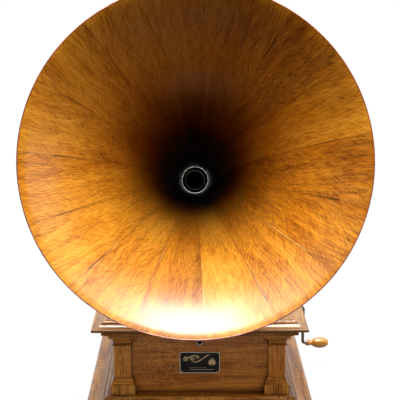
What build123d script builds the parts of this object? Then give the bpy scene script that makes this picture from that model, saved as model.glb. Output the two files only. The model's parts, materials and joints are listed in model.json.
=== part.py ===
from build123d import *
import math
import os

# A crank-wound disc talking machine with an external wooden horn. Sizes are in millimetres.
# The origin is the centre of the cabinet's underside, +Z is up and the front faces -Y.

# ---- Cabinet ---------------------------------------------------------------------------------
lid_width = 419.0  # outer width and depth of the lid's lip
base_width = 456.0  # outer width and depth of the base moulding
base_height = 48.0
base_fascia = 16.0  # height of the plain lower edge of the base moulding
bottom_thickness = 12.0
panel_face = 161.0  # outer faces of the panels, from the middle of the cabinet
panel_thickness = 12.0
post_face = 169.0  # outer faces of the corner posts, from the middle of the cabinet
post_size = 33.0
plinth_size = 49.0
plinth_height = 21.0
post_base_height = 14.0
shaft_height = 67.0
capital_height = 24.0
cornice_height = 17.0
cornice_half = 192.0
lid_height = 17.0
lid_lip = 6.0
lid_frame_inner = 165.0  # half width of the opening that the motor board fills
board_thickness = 12.0

# ---- Nameplate, lock and hinges ----------------------------------------------------------------
plate_width = 79.0
plate_height = 44.0
plate_middle_z = 110.0
plate_thickness = 1.4
pin_radius = 1.0
escutcheon_width = 15.0
escutcheon_height = 27.0
escutcheon_drop = 14.0  # from the cornice's lower edge to the middle of the lock's escutcheon
hinge_spacing = 220.0
hinge_length = 46.0

# ---- Horn --------------------------------------------------------------------------------------
bracket_x = -8.0  # the horn and the tone arm stand a little left of the middle
pivot_y = 261.0  # vertical axis of the horn and the tone arm
collar_rise = 122.0  # from the lid's top to the top of the horn's collar
horn_tilt = 16.2  # degrees that the horn's axis rises towards the mouth
horn_length = 578.0
mouth_radius = 305.0
rim_overhang = 11.0  # from the inner edge of the staves' ends to the outermost edge of the rim
throat_radius = 31.0
horn_wall = 6.0
staves = 15
first_seam = -87.0  # degrees
rim_width = 8.0
ferrule_bore = 21.3
ferrule_flange = 30.4
sleeve_length = 45.0
elbow_radius = 23.0
elbow_wall = 2.5
elbow_bend = 60.0
elbow_straight = 15.0  # from the throat to the start of the elbow's bend
elbow_drop = 6.0  # from the end of the bend to the collar
stem_depth = 24.0

# ---- Bracket and tone arm ------------------------------------------------------------------------
collar_radius = 30.0
collar_height = 40.0
bracket_width = 24.0
bracket_depth = 18.0
bracket_z = 115.0
bracket_reach = 302.0  # y of the bracket's upright
bracket_bend = 70.0
flange_width = 62.0
flange_height = 92.0
flange_thickness = 8.0
lug_rise = 36.0  # from the lid's top to the top of the tone arm's lug
arm_rise = 56.0  # from the lid's top to the tone arm's axis
arm_bend = 28.0
arm_rear_radius = 15.5
arm_front_radius = 9.0
arm_wall = 1.5
arm_stem_radius = 16.5
arm_reach = 218.0  # from the arm's pivot to the goose neck's axis
arm_front_bend = 14.0
arm_parked = 37.0  # degrees that the parked arm stands right of straight ahead
neck_radius = 8.5
neck_span = 44.0  # between the two legs of the goose neck
neck_rise = 11.0
sound_box_radius = 28.0
sound_box_depth = 13.0
needle_clear = 3.0  # from the felt to the tip of the parked needle

# ---- Turntable -----------------------------------------------------------------------------------
spindle_y = -10.0
platter_radius = 152.4
platter_rise = 22.0  # from the lid's top to the platter's top
platter_web = 4.0
platter_rim_depth = 15.0
felt_thickness = 2.0
spindle_radius = 4.0
spindle_pin_radius = 3.6
spindle_pin_height = 13.0

# ---- Motor ---------------------------------------------------------------------------------------
frame_drop = 16.0  # from the motor board's underside to the motor frame's top
frame_plate = 4.0
motor_depth = 146.0  # from the top of the motor frame to the underside of its base plate
base_plate_thickness = 4.0
crank_y = 75.0
crank_drop = 39.0  # from the motor frame's top to the crank's axis
great_lean = 29.2  # degrees that the line from the barrel to its pinion rises
barrel_radius = 40.0
barrel_length = 88.0
barrel_left = -28.0
great_teeth = 72
great_module = 1.5
great_width = 8.0
inner_teeth = 12
bevel_teeth = 30
bevel_pinion_teeth = 15
bevel_module = 1.25
bevel_width = 6.0
governor_teeth = 60
governor_pinion_teeth = 12
governor_module = 1.0
governor_direction = -60.0  # degrees from +X, seen from above
winding_teeth = 16
arbor_teeth = 32
winding_module = 2.0
arbor_wheel_x = 100.0
arbor_radius = 6.0
shaft_radius = 5.0

# ---- Crank ---------------------------------------------------------------------------------------
rod_radius = 3.2
crank_plane = 231.0  # x of the crank's swinging arm
crank_throw = 86.0
handle_length = 51.0
handle_radius = 11.7

# ---- Brake and speed control ---------------------------------------------------------------------
brake_x = -112.0
brake_y = -145.0
knob_x = 118.0
knob_y = -140.0

# ---- Clearances ----------------------------------------------------------------------------------
running = 0.05  # radial clearance of a shaft in its bearing
seat = 0.02  # radial clearance of pieces that are fixed together
free = 0.3  # gap between pieces that move past one another
tooth_play = 0.3  # gap between the flanks of a spur pair
bevel_play = 0.8  # gap between the flanks of the bevel pair, whose teeth have straight sides
tooth_depth = 1.1  # root of a tooth below its pitch line, in modules
tooth_height = 0.85  # tip of a tooth over its pitch line, in modules
tooth_bury = 0.2  # how far a bevel tooth reaches into its blank, in modules

# Heights and places that follow from the sizes above.
plinth_top = base_height + plinth_height
shaft_bottom = plinth_top + post_base_height
capital_bottom = shaft_bottom + shaft_height
cornice_bottom = capital_bottom + capital_height
lid_bottom = cornice_bottom + cornice_height
lid_top = lid_bottom + lid_height
board_bottom = lid_top - board_thickness
escutcheon_middle_z = cornice_bottom - escutcheon_drop
collar_top = lid_top + collar_rise
lug_top = lid_top + lug_rise
arm_z = lid_top + arm_rise
platter_top = lid_top + platter_rise
needle_tip_z = platter_top + felt_thickness + needle_clear
frame_top = board_bottom - frame_drop
base_plate_bottom = frame_top - motor_depth
crank_z = frame_top - crank_drop
lid_half = lid_width / 2
base_half = base_width / 2
panel_inner = panel_face - panel_thickness
post_inner = post_face - post_size
post_middle = post_face - post_size / 2
plinth_half = post_middle + plinth_size / 2

os.makedirs("parts", exist_ok=True)


def save(name, *pieces):
    """Writes one sub-part, one solid or a group of separate solids."""
    solids = []
    for piece in pieces:
        solids.extend(piece.solids())
    whole = solids[0] if len(solids) == 1 else Compound(solids)
    export_step(whole, f"parts/{name}.step")


def block(x, y, z):
    """A box between two corners, given as (low, high) pairs."""
    size = (x[1] - x[0], y[1] - y[0], z[1] - z[0])
    middle = ((x[0] + x[1]) / 2, (y[0] + y[1]) / 2, (z[0] + z[1]) / 2)
    return Pos(*middle) * Box(*size)


def rod(start, direction, length, radius):
    """A round bar from a start point along a direction."""
    plane = Plane(origin=start, z_dir=direction)
    return plane * Cylinder(radius, length, align=(Align.CENTER, Align.CENTER, Align.MIN))


def ring(start, direction, length, outer, inner):
    """A round bar with a hole through it."""
    return rod(start, direction, length, outer) - rod(start, direction, length, inner)


def quarter_turns(piece):
    """The piece and its three copies round the cabinet."""
    return [Rot(0, 0, 90 * turn) * piece for turn in range(4)]


def corners(piece):
    """The piece and its three mirror images at the other corners."""
    across = mirror(piece, Plane.YZ)
    return [piece, across, mirror(piece, Plane.XZ), mirror(across, Plane.XZ)]


def moulded_face(*corners_and_bulges):
    """A closed face from (x, y, bulge) corners. Each bulge bows the edge to the next corner:
    it is the height of that arc over its chord, as a share of the chord, and 0 is straight."""
    edges = Curve()
    for number, (x, y, bulge) in enumerate(corners_and_bulges):
        end_x, end_y, _ = corners_and_bulges[(number + 1) % len(corners_and_bulges)]
        middle = ((x + end_x) / 2 + (end_y - y) * bulge, (y + end_y) / 2 - (end_x - x) * bulge)
        edges += ThreePointArc((x, y), middle, (end_x, end_y)) if bulge else Line((x, y), (end_x, end_y))
    return make_face(edges)


def mitred_lengths(profile, half):
    """Four mitred lengths of a moulding. The profile lies in the YZ plane, on the front."""
    front = extrude(profile, half, both=True)
    reach = half + 1
    wedge = make_face(Polyline((0, 0), (-reach, -reach), (reach, -reach), close=True))
    front &= Pos(0, 0, -1) * extrude(wedge, lid_top + 20)
    return quarter_turns(front)


def square_turning(outline):
    """A square moulded block whose four sides share one outline of (half width, height)."""
    mirrored = [(-width, height) for width, height in reversed(outline)]
    side = make_face(Polyline(*outline, *mirrored, close=True))
    reach = max(width for width, height in outline) + 1
    across = extrude(Plane.XZ * side, reach, both=True)
    along = extrude(Plane.YZ * side, reach, both=True)
    return across & along


# ---- Carcass -------------------------------------------------------------------------------------

post = block((post_inner, post_face), (post_inner, post_face), (bottom_thickness, lid_bottom))
core = block((-panel_face, panel_face), (-panel_face, panel_face), (0, lid_bottom + 1))
all_posts = Compound([p.solid() for p in corners(post)])

save("bottom_board", block((-panel_face, panel_face), (-panel_face, panel_face), (0, bottom_thickness)))
save("corner_posts", *corners(post))

front_panel = block(
    (-post_inner, post_inner), (-panel_face, -panel_inner), (bottom_thickness, lid_bottom)
)
right_panel, back_panel, left_panel = [Rot(0, 0, 90 * turn) * front_panel for turn in (1, 2, 3)]


def post_wrap(outline):
    """A moulded block round the two outer faces of a corner post, at all four corners."""
    piece = Pos(post_middle, post_middle, 0) * square_turning(outline)
    return corners(piece - core - post)


plinth_half_size = plinth_size / 2
plinth_outline = [
    (plinth_half_size, base_height),
    (plinth_half_size, plinth_top - 2),
    (plinth_half_size - 2, plinth_top),
]
save("post_plinths", *post_wrap(plinth_outline))

shaft_half = post_size / 2
post_base_outline = [
    (plinth_half_size - 3, plinth_top),
    (plinth_half_size - 2, plinth_top + 2.5),
    (plinth_half_size - 3, plinth_top + 5),
    (shaft_half + 3, plinth_top + 6),
    (shaft_half + 2.5, plinth_top + 8),
    (shaft_half + 4, plinth_top + 9.5),
    (shaft_half + 4, plinth_top + 11),
    (shaft_half + 1, plinth_top + 12),
    (shaft_half + 1, shaft_bottom),
]
save("post_bases", *post_wrap(post_base_outline))

capital_outline = [
    (shaft_half + 2.5, capital_bottom),
    (shaft_half + 3.5, capital_bottom + 1.5),
    (shaft_half + 2.5, capital_bottom + 3),
    (shaft_half + 0.8, capital_bottom + 3.5),
    (shaft_half + 0.8, capital_bottom + 9),
    (shaft_half + 3, capital_bottom + 13),
    (shaft_half + 6.5, capital_bottom + 15.5),
    (shaft_half + 6.5, capital_bottom + 17),
    (shaft_half + 9.5, capital_bottom + 17.5),
    (shaft_half + 9.5, cornice_bottom),
]
save("post_capitals", *post_wrap(capital_outline))

# ---- Mouldings -----------------------------------------------------------------------------------

quarter = 0.2071  # bulge of a quarter circle
ledge_half = plinth_half + 8
base_profile = Plane.YZ * moulded_face(
    (-panel_face, 0, 0),
    (-base_half, 0, 0),
    (-base_half, base_fascia, -quarter),
    (-base_half + 11, base_fascia + 10, 0),
    (-base_half + 11, base_fascia + 13, 0),
    (-base_half + 15, base_fascia + 13, quarter * 0.8),
    (-ledge_half - 7, base_height - 6, 0),
    (-ledge_half - 4, base_height - 6, -quarter),
    (-ledge_half + 2, base_height, 0),
    (-panel_face, base_height, 0),
)
save("base_moulding", *[length - all_posts for length in mitred_lengths(base_profile, base_half)])

bead_half = cornice_half - 5
cornice_profile = Plane.YZ * moulded_face(
    (-panel_face, cornice_bottom, 0),
    (-bead_half + 4, cornice_bottom, 0),
    (-bead_half + 4, cornice_bottom + 3, 0),
    (-bead_half, cornice_bottom + 3, -0.5),
    (-bead_half, cornice_bottom + 13, 0),
    (-bead_half, lid_bottom, 0),
    (-panel_face, lid_bottom, 0),
)
save("cornice_moulding", *[length - all_posts for length in mitred_lengths(cornice_profile, cornice_half)])

lip_top = lid_bottom + lid_lip
cove_end = -lid_half + 19
lid_profile = Plane.YZ * moulded_face(
    (-lid_frame_inner, lid_bottom, 0),
    (-lid_half + 1.5, lid_bottom, 0),
    (-lid_half, lid_bottom + 1.5, 0),
    (-lid_half, lip_top - 1.5, -quarter),
    (-lid_half + 1.5, lip_top, 0),
    (-lid_half + 4, lip_top, quarter * 0.6),
    (cove_end, lip_top + 5, 0),
    (cove_end, lip_top + 8, 0),
    (cove_end + 5, lip_top + 8, quarter * 0.7),
    (cove_end + 8, lid_top, 0),
    (-lid_frame_inner, lid_top, 0),
)
save("lid_frame", *mitred_lengths(lid_profile, lid_half))

# ---- Nameplate, lock, hinges ---------------------------------------------------------------------

front_face = -panel_face
pin_places = [
    (side * (plate_width / 2 - 4), plate_middle_z + level * (plate_height / 2 - 4))
    for side in (-1, 1)
    for level in (-1, 1)
]


def plate_box(inset, depth):
    """A box the size of the nameplate less an inset, standing out of the front panel."""
    half_width = plate_width / 2 - inset
    half_height = plate_height / 2 - inset
    heights = (plate_middle_z - half_height, plate_middle_z + half_height)
    return block((-half_width, half_width), (front_face - depth, front_face), heights)


nameplate = fillet(plate_box(0, plate_thickness).edges().filter_by(Axis.Y), 1.5)
nameplate -= Pos(0, -plate_thickness + 0.3, 0) * (plate_box(1.6, 1) - plate_box(2.6, 1))
pins = []
for x, z in pin_places:
    shank = rod((x, front_face + 6, z), (0, -1, 0), 6 + plate_thickness, pin_radius)
    head = Pos(x, front_face - plate_thickness, z) * Sphere(pin_radius * 1.8)
    head &= block((x - 5, x + 5), (-panel_face - 9, front_face - plate_thickness), (z - 5, z + 5))
    pins.append(shank + head)
    hole = rod((x, front_face + 6, z), (0, -1, 0), 12, pin_radius + seat)
    nameplate -= hole
    front_panel -= hole
save("nameplate", nameplate)
save("nameplate_pins", *pins)


def oval_plate(width, height, thickness):
    """An upright oval plate, its back on the plane y = 0."""
    return extrude(Plane.XZ * SlotOverall(height, width, rotation=90), thickness)


keyhole = Plane.XZ * (Pos(0, 3) * Circle(2.2) + Pos(0, -1.5) * Rectangle(2.2, 8))
lock_escutcheon = oval_plate(escutcheon_width, escutcheon_height, 2)
lock_escutcheon = chamfer(lock_escutcheon.faces().sort_by(Axis.Y)[0].edges(), 0.8)
lock_escutcheon -= extrude(keyhole, 3)
lock_place = Pos(0, front_face, escutcheon_middle_z)
save("lock_escutcheon", lock_place * lock_escutcheon)
front_panel -= lock_place * Pos(0, 6, 0) * extrude(keyhole, 7)
save("front_panel", front_panel)

# The two butt hinges are let into the back of the carcass under the lid's lip.
hinges = []
for side in (-1, 1):
    x = side * hinge_spacing / 2
    x_span = (x - hinge_length / 2, x + hinge_length / 2)
    knuckle = rod((x_span[0], cornice_half + 3.5, lid_bottom - 3), (1, 0, 0), hinge_length, 3)
    leaf = block(x_span, (cornice_half - 4 + free, cornice_half + 1.5), (lid_bottom - 13, lid_bottom))
    hinges.append(knuckle + (leaf - block(x_span, (0, cornice_half + free), (0, lid_bottom - 3))))
save("lid_hinges", *hinges)

# ---- Horn ----------------------------------------------------------------------------------------

tilt = math.radians(horn_tilt)
elbow_end_z = collar_top + elbow_drop
throat_y = pivot_y - elbow_bend * (1 - math.sin(tilt)) - elbow_straight * math.cos(tilt)
throat_z = elbow_end_z + elbow_bend * math.cos(tilt) + elbow_straight * math.sin(tilt)
horn_direction = (0, -math.cos(tilt), math.sin(tilt))
horn_plane = Plane(origin=(bracket_x, throat_y, throat_z), x_dir=(1, 0, 0), z_dir=horn_direction)

wood_length = horn_length - rim_width
flare = math.log((mouth_radius - rim_overhang) / throat_radius) / wood_length


def horn_radius(along):
    """Inner radius of the horn at a distance along its axis from the throat."""
    return throat_radius * math.exp(flare * along)


def wall_point(along, depth):
    """(radius, distance along the axis) of a point a depth outside the horn's inner surface."""
    slope = math.atan(flare * horn_radius(along))
    return (horn_radius(along) + depth * math.cos(slope), along - depth * math.sin(slope))


stations = [wood_length * (step / 12) ** 0.75 for step in range(13)]
inner_line = [wall_point(along, 0) for along in stations]
outer_line = [wall_point(along, horn_wall) for along in stations]
stave_face = Plane.XZ * make_face(
    Spline(*inner_line)
    + Line(inner_line[-1], outer_line[-1])
    + Spline(*reversed(outer_line))
    + Line(outer_line[0], inner_line[0])
)
stave_angle = 360 / staves
stave = revolve(stave_face, Axis.Z, stave_angle)
save(
    "horn_staves",
    *[horn_plane * (Rot(0, 0, first_seam + stave_angle * number) * stave) for number in range(staves)],
)

mouth_slope = math.atan(flare * horn_radius(wood_length))
rim_step = (rim_width * math.sin(mouth_slope), rim_width * math.cos(mouth_slope))
rim_inner = wall_point(wood_length, -0.6)
rim_outer = wall_point(wood_length, horn_wall + 1.2)
rim_tip_inner = (rim_inner[0] + rim_step[0], rim_inner[1] + rim_step[1])
rim_tip_outer = (rim_outer[0] + rim_step[0], rim_outer[1] + rim_step[1])
rim_nose = (
    (rim_tip_inner[0] + rim_tip_outer[0]) / 2 + 1.6,
    (rim_tip_inner[1] + rim_tip_outer[1]) / 2 + 1.4,
)
rim_face = Plane.XZ * make_face(
    Line(rim_inner, rim_tip_inner)
    + ThreePointArc(rim_tip_inner, rim_nose, rim_tip_outer)
    + Line(rim_tip_outer, rim_outer)
    + Line(rim_outer, rim_inner)
)
save("horn_rim", horn_plane * revolve(rim_face, Axis.Z))

sleeve_stations = [sleeve_length * step / 3 for step in range(4)]
sleeve_inner = [wall_point(along, horn_wall + free) for along in sleeve_stations]
sleeve_outer = [wall_point(along, horn_wall + 1.6) for along in sleeve_stations]
neck_radius_outer = sleeve_outer[0][0]
ferrule_face = Plane.XZ * make_face(
    Polyline(
        (ferrule_bore, -elbow_straight),
        (ferrule_bore, 3),
        (ferrule_bore + 1.2, 4),
        (ferrule_flange - 1, 4),
        (ferrule_flange, 3),
        (ferrule_flange, -1),
        (sleeve_inner[0][0], -1),
        *sleeve_inner,
        *reversed(sleeve_outer),
        (neck_radius_outer, -3.5),
        (elbow_radius + 6, -7),
        (elbow_radius + 6, -elbow_straight),
        close=True,
    )
)
save("horn_ferrule", horn_plane * revolve(ferrule_face, Axis.Z))

elbow_start = horn_plane.from_local_coords(Vector(0, 0, -elbow_straight))
elbow_end = Vector(bracket_x, pivot_y, elbow_end_z)
bend_middle = elbow_end + Vector(0, -elbow_bend, 0)
half_turn = math.radians((90 - horn_tilt) / 2)
bend_half = bend_middle + Vector(0, elbow_bend * math.cos(half_turn), elbow_bend * math.sin(half_turn))
elbow_path = ThreePointArc(elbow_start, bend_half, elbow_end)


def tube_along(path, outer, inner):
    """A bent tube that follows a path."""
    start = Plane(origin=path @ 0, z_dir=path % 0)
    return sweep(start * Circle(outer), path=path) - sweep(start * Circle(inner), path=path)


stem_bottom = collar_top - stem_depth
elbow = tube_along(elbow_path, elbow_radius, elbow_radius - elbow_wall)
elbow += ring(
    (bracket_x, pivot_y, stem_bottom),
    (0, 0, 1),
    elbow_end_z - stem_bottom,
    elbow_radius,
    elbow_radius - elbow_wall,
)
elbow += ring((bracket_x, pivot_y, collar_top), (0, 0, 1), 4, collar_radius, elbow_radius - 1)
save("horn_elbow", elbow)

# ---- Bracket -------------------------------------------------------------------------------------

pivot = (bracket_x, pivot_y)
collar_bottom = collar_top - collar_height
upright_top = collar_top - 8
bracket_line = FilletPolyline(
    (bracket_x, panel_face + 1, bracket_z),
    (bracket_x, bracket_reach, bracket_z),
    (bracket_x, bracket_reach, upright_top),
    radius=bracket_bend,
)
section = Plane(origin=bracket_line @ 0, x_dir=(1, 0, 0), z_dir=(0, 1, 0))
bracket = sweep(section * RectangleRounded(bracket_width, bracket_depth, 6), path=bracket_line)
flange_x = (bracket_x - flange_width / 2, bracket_x + flange_width / 2)
flange_z = (bracket_z - flange_height / 2, bracket_z + flange_height / 2)
flange = block(flange_x, (panel_face, panel_face + flange_thickness), flange_z)
flange = fillet(flange.edges().filter_by(Axis.Y), 14)
bracket += flange
bracket += rod((*pivot, collar_bottom), (0, 0, 1), collar_height, collar_radius)
web_x = (bracket_x - bracket_width / 2 + 3, bracket_x + bracket_width / 2 - 3)
bracket += block(web_x, (pivot_y + 20, bracket_reach), (collar_bottom, upright_top))
bracket += rod((*pivot, lug_top - 14), (0, 0, 1), 14, 11)
lug_x = (bracket_x - 9, bracket_x + 9)
bracket += block(lug_x, (pivot_y, bracket_reach), (lug_top - 14, lug_top))
bracket -= rod((*pivot, stem_bottom - 1), (0, 0, 1), collar_height, elbow_radius + running)
bracket -= rod((*pivot, collar_bottom - 1), (0, 0, 1), collar_height, arm_stem_radius + running)
bracket -= rod((*pivot, lug_top - 20), (0, 0, 1), 30, 4 + seat)

screw_places = [
    (bracket_x + side * (flange_width / 2 - 11), bracket_z + level * (flange_height / 2 - 13))
    for side in (-1, 1)
    for level in (-1, 1)
]


def slotted_screw(head_radius, head_height, shank_radius, shank_length):
    """A round-headed screw that stands on the plane z = 0 and points down."""
    head = Cylinder(head_radius, head_height, align=(Align.CENTER, Align.CENTER, Align.MIN))
    head = fillet(head.edges().sort_by(Axis.Z)[-1], head_height * 0.6)
    head -= Pos(0, 0, head_height) * Box(head_radius * 3, head_radius * 0.3, head_height)
    return head + rod((0, 0, 0), (0, 0, -1), shank_length, shank_radius)


bracket_screws = []
for x, z in screw_places:
    place = Plane(origin=(x, panel_face + flange_thickness, z), x_dir=(1, 0, 0), z_dir=(0, 1, 0))
    bracket_screws.append(place * slotted_screw(5, 3, 2.4, flange_thickness + 9))
    hole = rod((x, panel_face + flange_thickness + 1, z), (0, -1, 0), flange_thickness + 11, 2.4 + seat)
    bracket -= hole
    back_panel -= hole
save("bracket_screws", *bracket_screws)
save("back_panel", back_panel)

thumb_z = collar_top - 12
thumb_start = (bracket_x + elbow_radius + 0.5, pivot_y, thumb_z)
thumbscrew = rod(thumb_start, (1, 0, 0), 16, 2.5)
thumbscrew += rod((bracket_x + collar_radius + free, pivot_y, thumb_z), (1, 0, 0), 4, 5)
wing = Plane(origin=(bracket_x + collar_radius + 11, pivot_y, thumb_z), z_dir=(0, 1, 0))
thumbscrew += wing * extrude(SlotOverall(22, 9, rotation=90), 1.4, both=True)
save("horn_thumbscrew", thumbscrew)
bracket -= rod(thumb_start, (1, 0, 0), 20, 2.5 + seat)
save("horn_bracket", bracket)

pivot_tip = lug_top + 3
pivot_screw = rod((*pivot, lug_top - 18), (0, 0, 1), 18 + pivot_tip - lug_top, 4)
pivot_screw += rod((*pivot, lug_top - 19), (0, 0, 1), 5, 8)
pivot_screw -= Pos(*pivot, lug_top - 19) * Box(20, 1.6, 3)
save("arm_pivot_screw", pivot_screw)

# ---- Tone arm and sound box ----------------------------------------------------------------------
# They are drawn with the pivot on the Z axis and the arm along -Y, then turned to the parked place.

parked = Pos(bracket_x, pivot_y, 0) * Rot(0, 0, arm_parked)

arm_stem_top = stem_bottom - 1 - free
straight_end = -(arm_reach - arm_front_bend)
arm_length = -arm_bend - straight_end
arm_end_x = -arm_front_bend - 6
rear_line = FilletPolyline(
    (0, -arm_bend - 0.5, arm_z), (0, 0, arm_z), (0, 0, arm_stem_top), radius=arm_bend
)
front_line = FilletPolyline(
    (0, straight_end + 0.5, arm_z),
    (0, -arm_reach, arm_z),
    (arm_end_x, -arm_reach, arm_z),
    radius=arm_front_bend,
)


def arm_body(wall):
    """The arm's rear bend, tapered stretch and front bend, all a wall inside the outer surface."""
    rear = arm_rear_radius - wall
    front = arm_front_radius - wall
    outline = Polyline((0, 0), (rear, 0), (front, arm_length), (0, arm_length), close=True)
    taper_plane = Plane(origin=(0, -arm_bend, arm_z), z_dir=(0, -1, 0))
    body = taper_plane * revolve(Plane.XZ * make_face(outline), Axis.Z)
    body += sweep(Plane(origin=rear_line @ 0, z_dir=rear_line % 0) * Circle(rear), path=rear_line)
    body += sweep(Plane(origin=front_line @ 0, z_dir=front_line % 0) * Circle(front), path=front_line)
    return body


arm_boss_bottom = pivot_tip + free - 3
arm = arm_body(0)
arm += rod((0, 0, collar_bottom - 2), (0, 0, 1), arm_stem_top - collar_bottom + 2, arm_stem_radius)
arm += rod((0, 0, arm_boss_bottom), (0, 0, 1), 24, 7)
arm += rod((arm_end_x + 4, -arm_reach, arm_z), (-1, 0, 0), 4, arm_front_radius + 2)
arm -= arm_body(arm_wall)
arm -= rod((0, 0, arm_boss_bottom - 1), (0, 0, 1), pivot_tip + free + 1 - arm_boss_bottom, 4 + running)
save("tonearm", parked * arm)

neck_start_x = arm_end_x - free
neck_turn_x = neck_start_x - 6
neck_y = -arm_reach
box_y = neck_y - math.sqrt(neck_span**2 - neck_rise**2)
box_z = arm_z + neck_rise
box_back_x = -7.0
neck_first = Vector(neck_turn_x, neck_y, arm_z)
neck_second = Vector(neck_turn_x, box_y, box_z)
neck_crown = (neck_first + neck_second) * 0.5 + Vector(-neck_span / 2, 0, 0)
neck_line = (
    Line((neck_start_x, neck_y, arm_z), neck_first)
    + ThreePointArc(neck_first, neck_crown, neck_second)
    + Line(neck_second, (box_back_x, box_y, box_z))
)
neck_plane = Plane(origin=(neck_start_x, neck_y, arm_z), z_dir=(-1, 0, 0))
neck_path = Wire(neck_line.edges())
neck = sweep(neck_plane * Circle(neck_radius), path=neck_path)
neck += rod((neck_start_x, neck_y, arm_z), (-1, 0, 0), 4, arm_front_radius + 2)
neck += rod((box_back_x - 8, box_y, box_z), (1, 0, 0), 8, neck_radius + 2)
neck -= sweep(neck_plane * Circle(neck_radius - arm_wall), path=neck_path)
spigot = arm_front_radius - arm_wall - running
neck += ring((neck_start_x + 5, neck_y, arm_z), (-1, 0, 0), 7, spigot, neck_radius - arm_wall - 0.5)
save("gooseneck", parked * neck)

box_front_x = box_back_x + sound_box_depth
box_plane_start = (box_back_x, box_y, box_z)
cavity = sound_box_radius - 5
sound_box = rod(box_plane_start, (1, 0, 0), sound_box_depth, sound_box_radius)
sound_box = chamfer(sound_box.edges().filter_by(GeomType.CIRCLE), 1.5)
sound_box -= rod((box_back_x + 3, box_y, box_z), (1, 0, 0), sound_box_depth, cavity)
sound_box -= rod((box_back_x - 1, box_y, box_z), (1, 0, 0), 6, neck_radius - arm_wall)
save("sound_box_case", parked * sound_box)

diaphragm_x = box_back_x + 6
gasket = ring((box_back_x + 3, box_y, box_z), (1, 0, 0), 6.4, cavity - seat, cavity - 2.5)
gasket -= rod((diaphragm_x, box_y, box_z), (1, 0, 0), 0.4, cavity + 1)
save("diaphragm_gaskets", parked * gasket)
save("diaphragm", parked * rod((diaphragm_x, box_y, box_z), (1, 0, 0), 0.4, cavity - 0.4))

# The stylus bar rocks in a notch of the case: its upper end is on the diaphragm's middle.
bar_x = box_front_x + free
bar_bottom = box_z - sound_box_radius - 4
bar = block((bar_x, bar_x + 2), (box_y - 2, box_y + 2), (bar_bottom, box_z + 2))
bar += block((diaphragm_x + 0.4, bar_x), (box_y - 1, box_y + 1), (box_z - 1, box_z + 1))
bar += block((bar_x - 3, bar_x + 3.5), (box_y - 3, box_y + 3), (bar_bottom, bar_bottom + 4 - free))
bar += rod((bar_x + 3, box_y, bar_bottom + 1.8), (1, 0, 0), 6, 1)
bar += rod((bar_x + 7, box_y, bar_bottom + 1.8), (1, 0, 0), 2, 3.4)
needle_top = (bar_x, box_y, bar_bottom + 2)
needle_drop = bar_bottom - needle_tip_z
needle_slant = Vector(0, -needle_drop * 0.6, -needle_drop).normalized()
bar -= rod(needle_top, needle_slant, 10, 0.8 + seat)
save("stylus_bar", parked * bar)
needle_length = (bar_bottom + 2 - needle_tip_z) / -needle_slant.Z
needle_plane = Plane(origin=needle_top, z_dir=needle_slant)
point = 4.0
needle = rod(needle_top, needle_slant, needle_length - point, 0.8)
needle += needle_plane * Pos(0, 0, needle_length - point / 2) * Cone(0.8, 0.1, point)
save("needle", parked * needle)

# ---- Turntable -----------------------------------------------------------------------------------

spindle_axis = (0, spindle_y)
platter = rod((*spindle_axis, platter_top - platter_web), (0, 0, 1), platter_web, platter_radius)
platter += ring(
    (*spindle_axis, platter_top - platter_rim_depth),
    (0, 0, 1),
    platter_rim_depth,
    platter_radius,
    platter_radius - 6,
)
platter = fillet(platter.edges().filter_by(GeomType.CIRCLE).sort_by(Axis.Z)[-1], 1.5)
hub_bottom = lid_top + 5
platter += rod((*spindle_axis, hub_bottom), (0, 0, 1), platter_top - hub_bottom - 1, 16)
platter -= rod((*spindle_axis, 0), (0, 0, 1), 400, spindle_radius + seat)
save("platter", platter)
felt = ring(
    (*spindle_axis, platter_top), (0, 0, 1), felt_thickness, platter_radius - 2, spindle_radius + 1
)
save("felt_mat", felt)

frame_bottom = frame_top - frame_plate
base_plate_top = base_plate_bottom + base_plate_thickness
spindle_foot = base_plate_bottom + 1
felt_top = platter_top + felt_thickness
spindle = rod((*spindle_axis, spindle_foot), (0, 0, 1), felt_top - spindle_foot, spindle_radius)
spindle += rod((*spindle_axis, felt_top), (0, 0, 1), spindle_pin_height, spindle_pin_radius)
spindle = fillet(spindle.edges().filter_by(GeomType.CIRCLE).sort_by(Axis.Z)[-1], 2)
save("spindle", spindle)


# ---- Gears ---------------------------------------------------------------------------------------


def tooth_outline(teeth, module, toward):
    """Outline of a spur gear with stub involute teeth, one of them centred on an angle."""
    pitch = teeth * module / 2
    pressure = math.radians(20)
    base = pitch * math.cos(pressure)
    root = pitch - tooth_depth * module
    tip = pitch + tooth_height * module
    half_angle = math.pi / (2 * teeth) - tooth_play / (4 * pitch)

    def flank(radius):
        """Half the tooth's angle at a radius."""
        if radius <= base:
            return half_angle + math.tan(pressure) - pressure
        turn = math.acos(base / radius)
        return half_angle + math.tan(pressure) - pressure - (math.tan(turn) - turn)

    radii = [root, (base + pitch) / 2, pitch + 0.3 * module, tip]
    if base < root:
        radii[1] = (root + pitch) / 2
    points = []
    for tooth in range(teeth):
        middle = toward + 2 * math.pi * tooth / teeth
        sides = [(radius, middle - flank(radius)) for radius in radii]
        sides += [(radius, middle + flank(radius)) for radius in reversed(radii)]
        points += [(radius * math.cos(turn), radius * math.sin(turn)) for radius, turn in sides]
    return make_face(Polyline(*points, close=True))


def spur_gear(teeth, module, width, bore, toward):
    """A spur gear that stands on the plane z = 0."""
    gear = extrude(tooth_outline(teeth, module, toward), width)
    return gear - Pos(0, 0, -1) * Cylinder(bore, width * 4)


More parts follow.
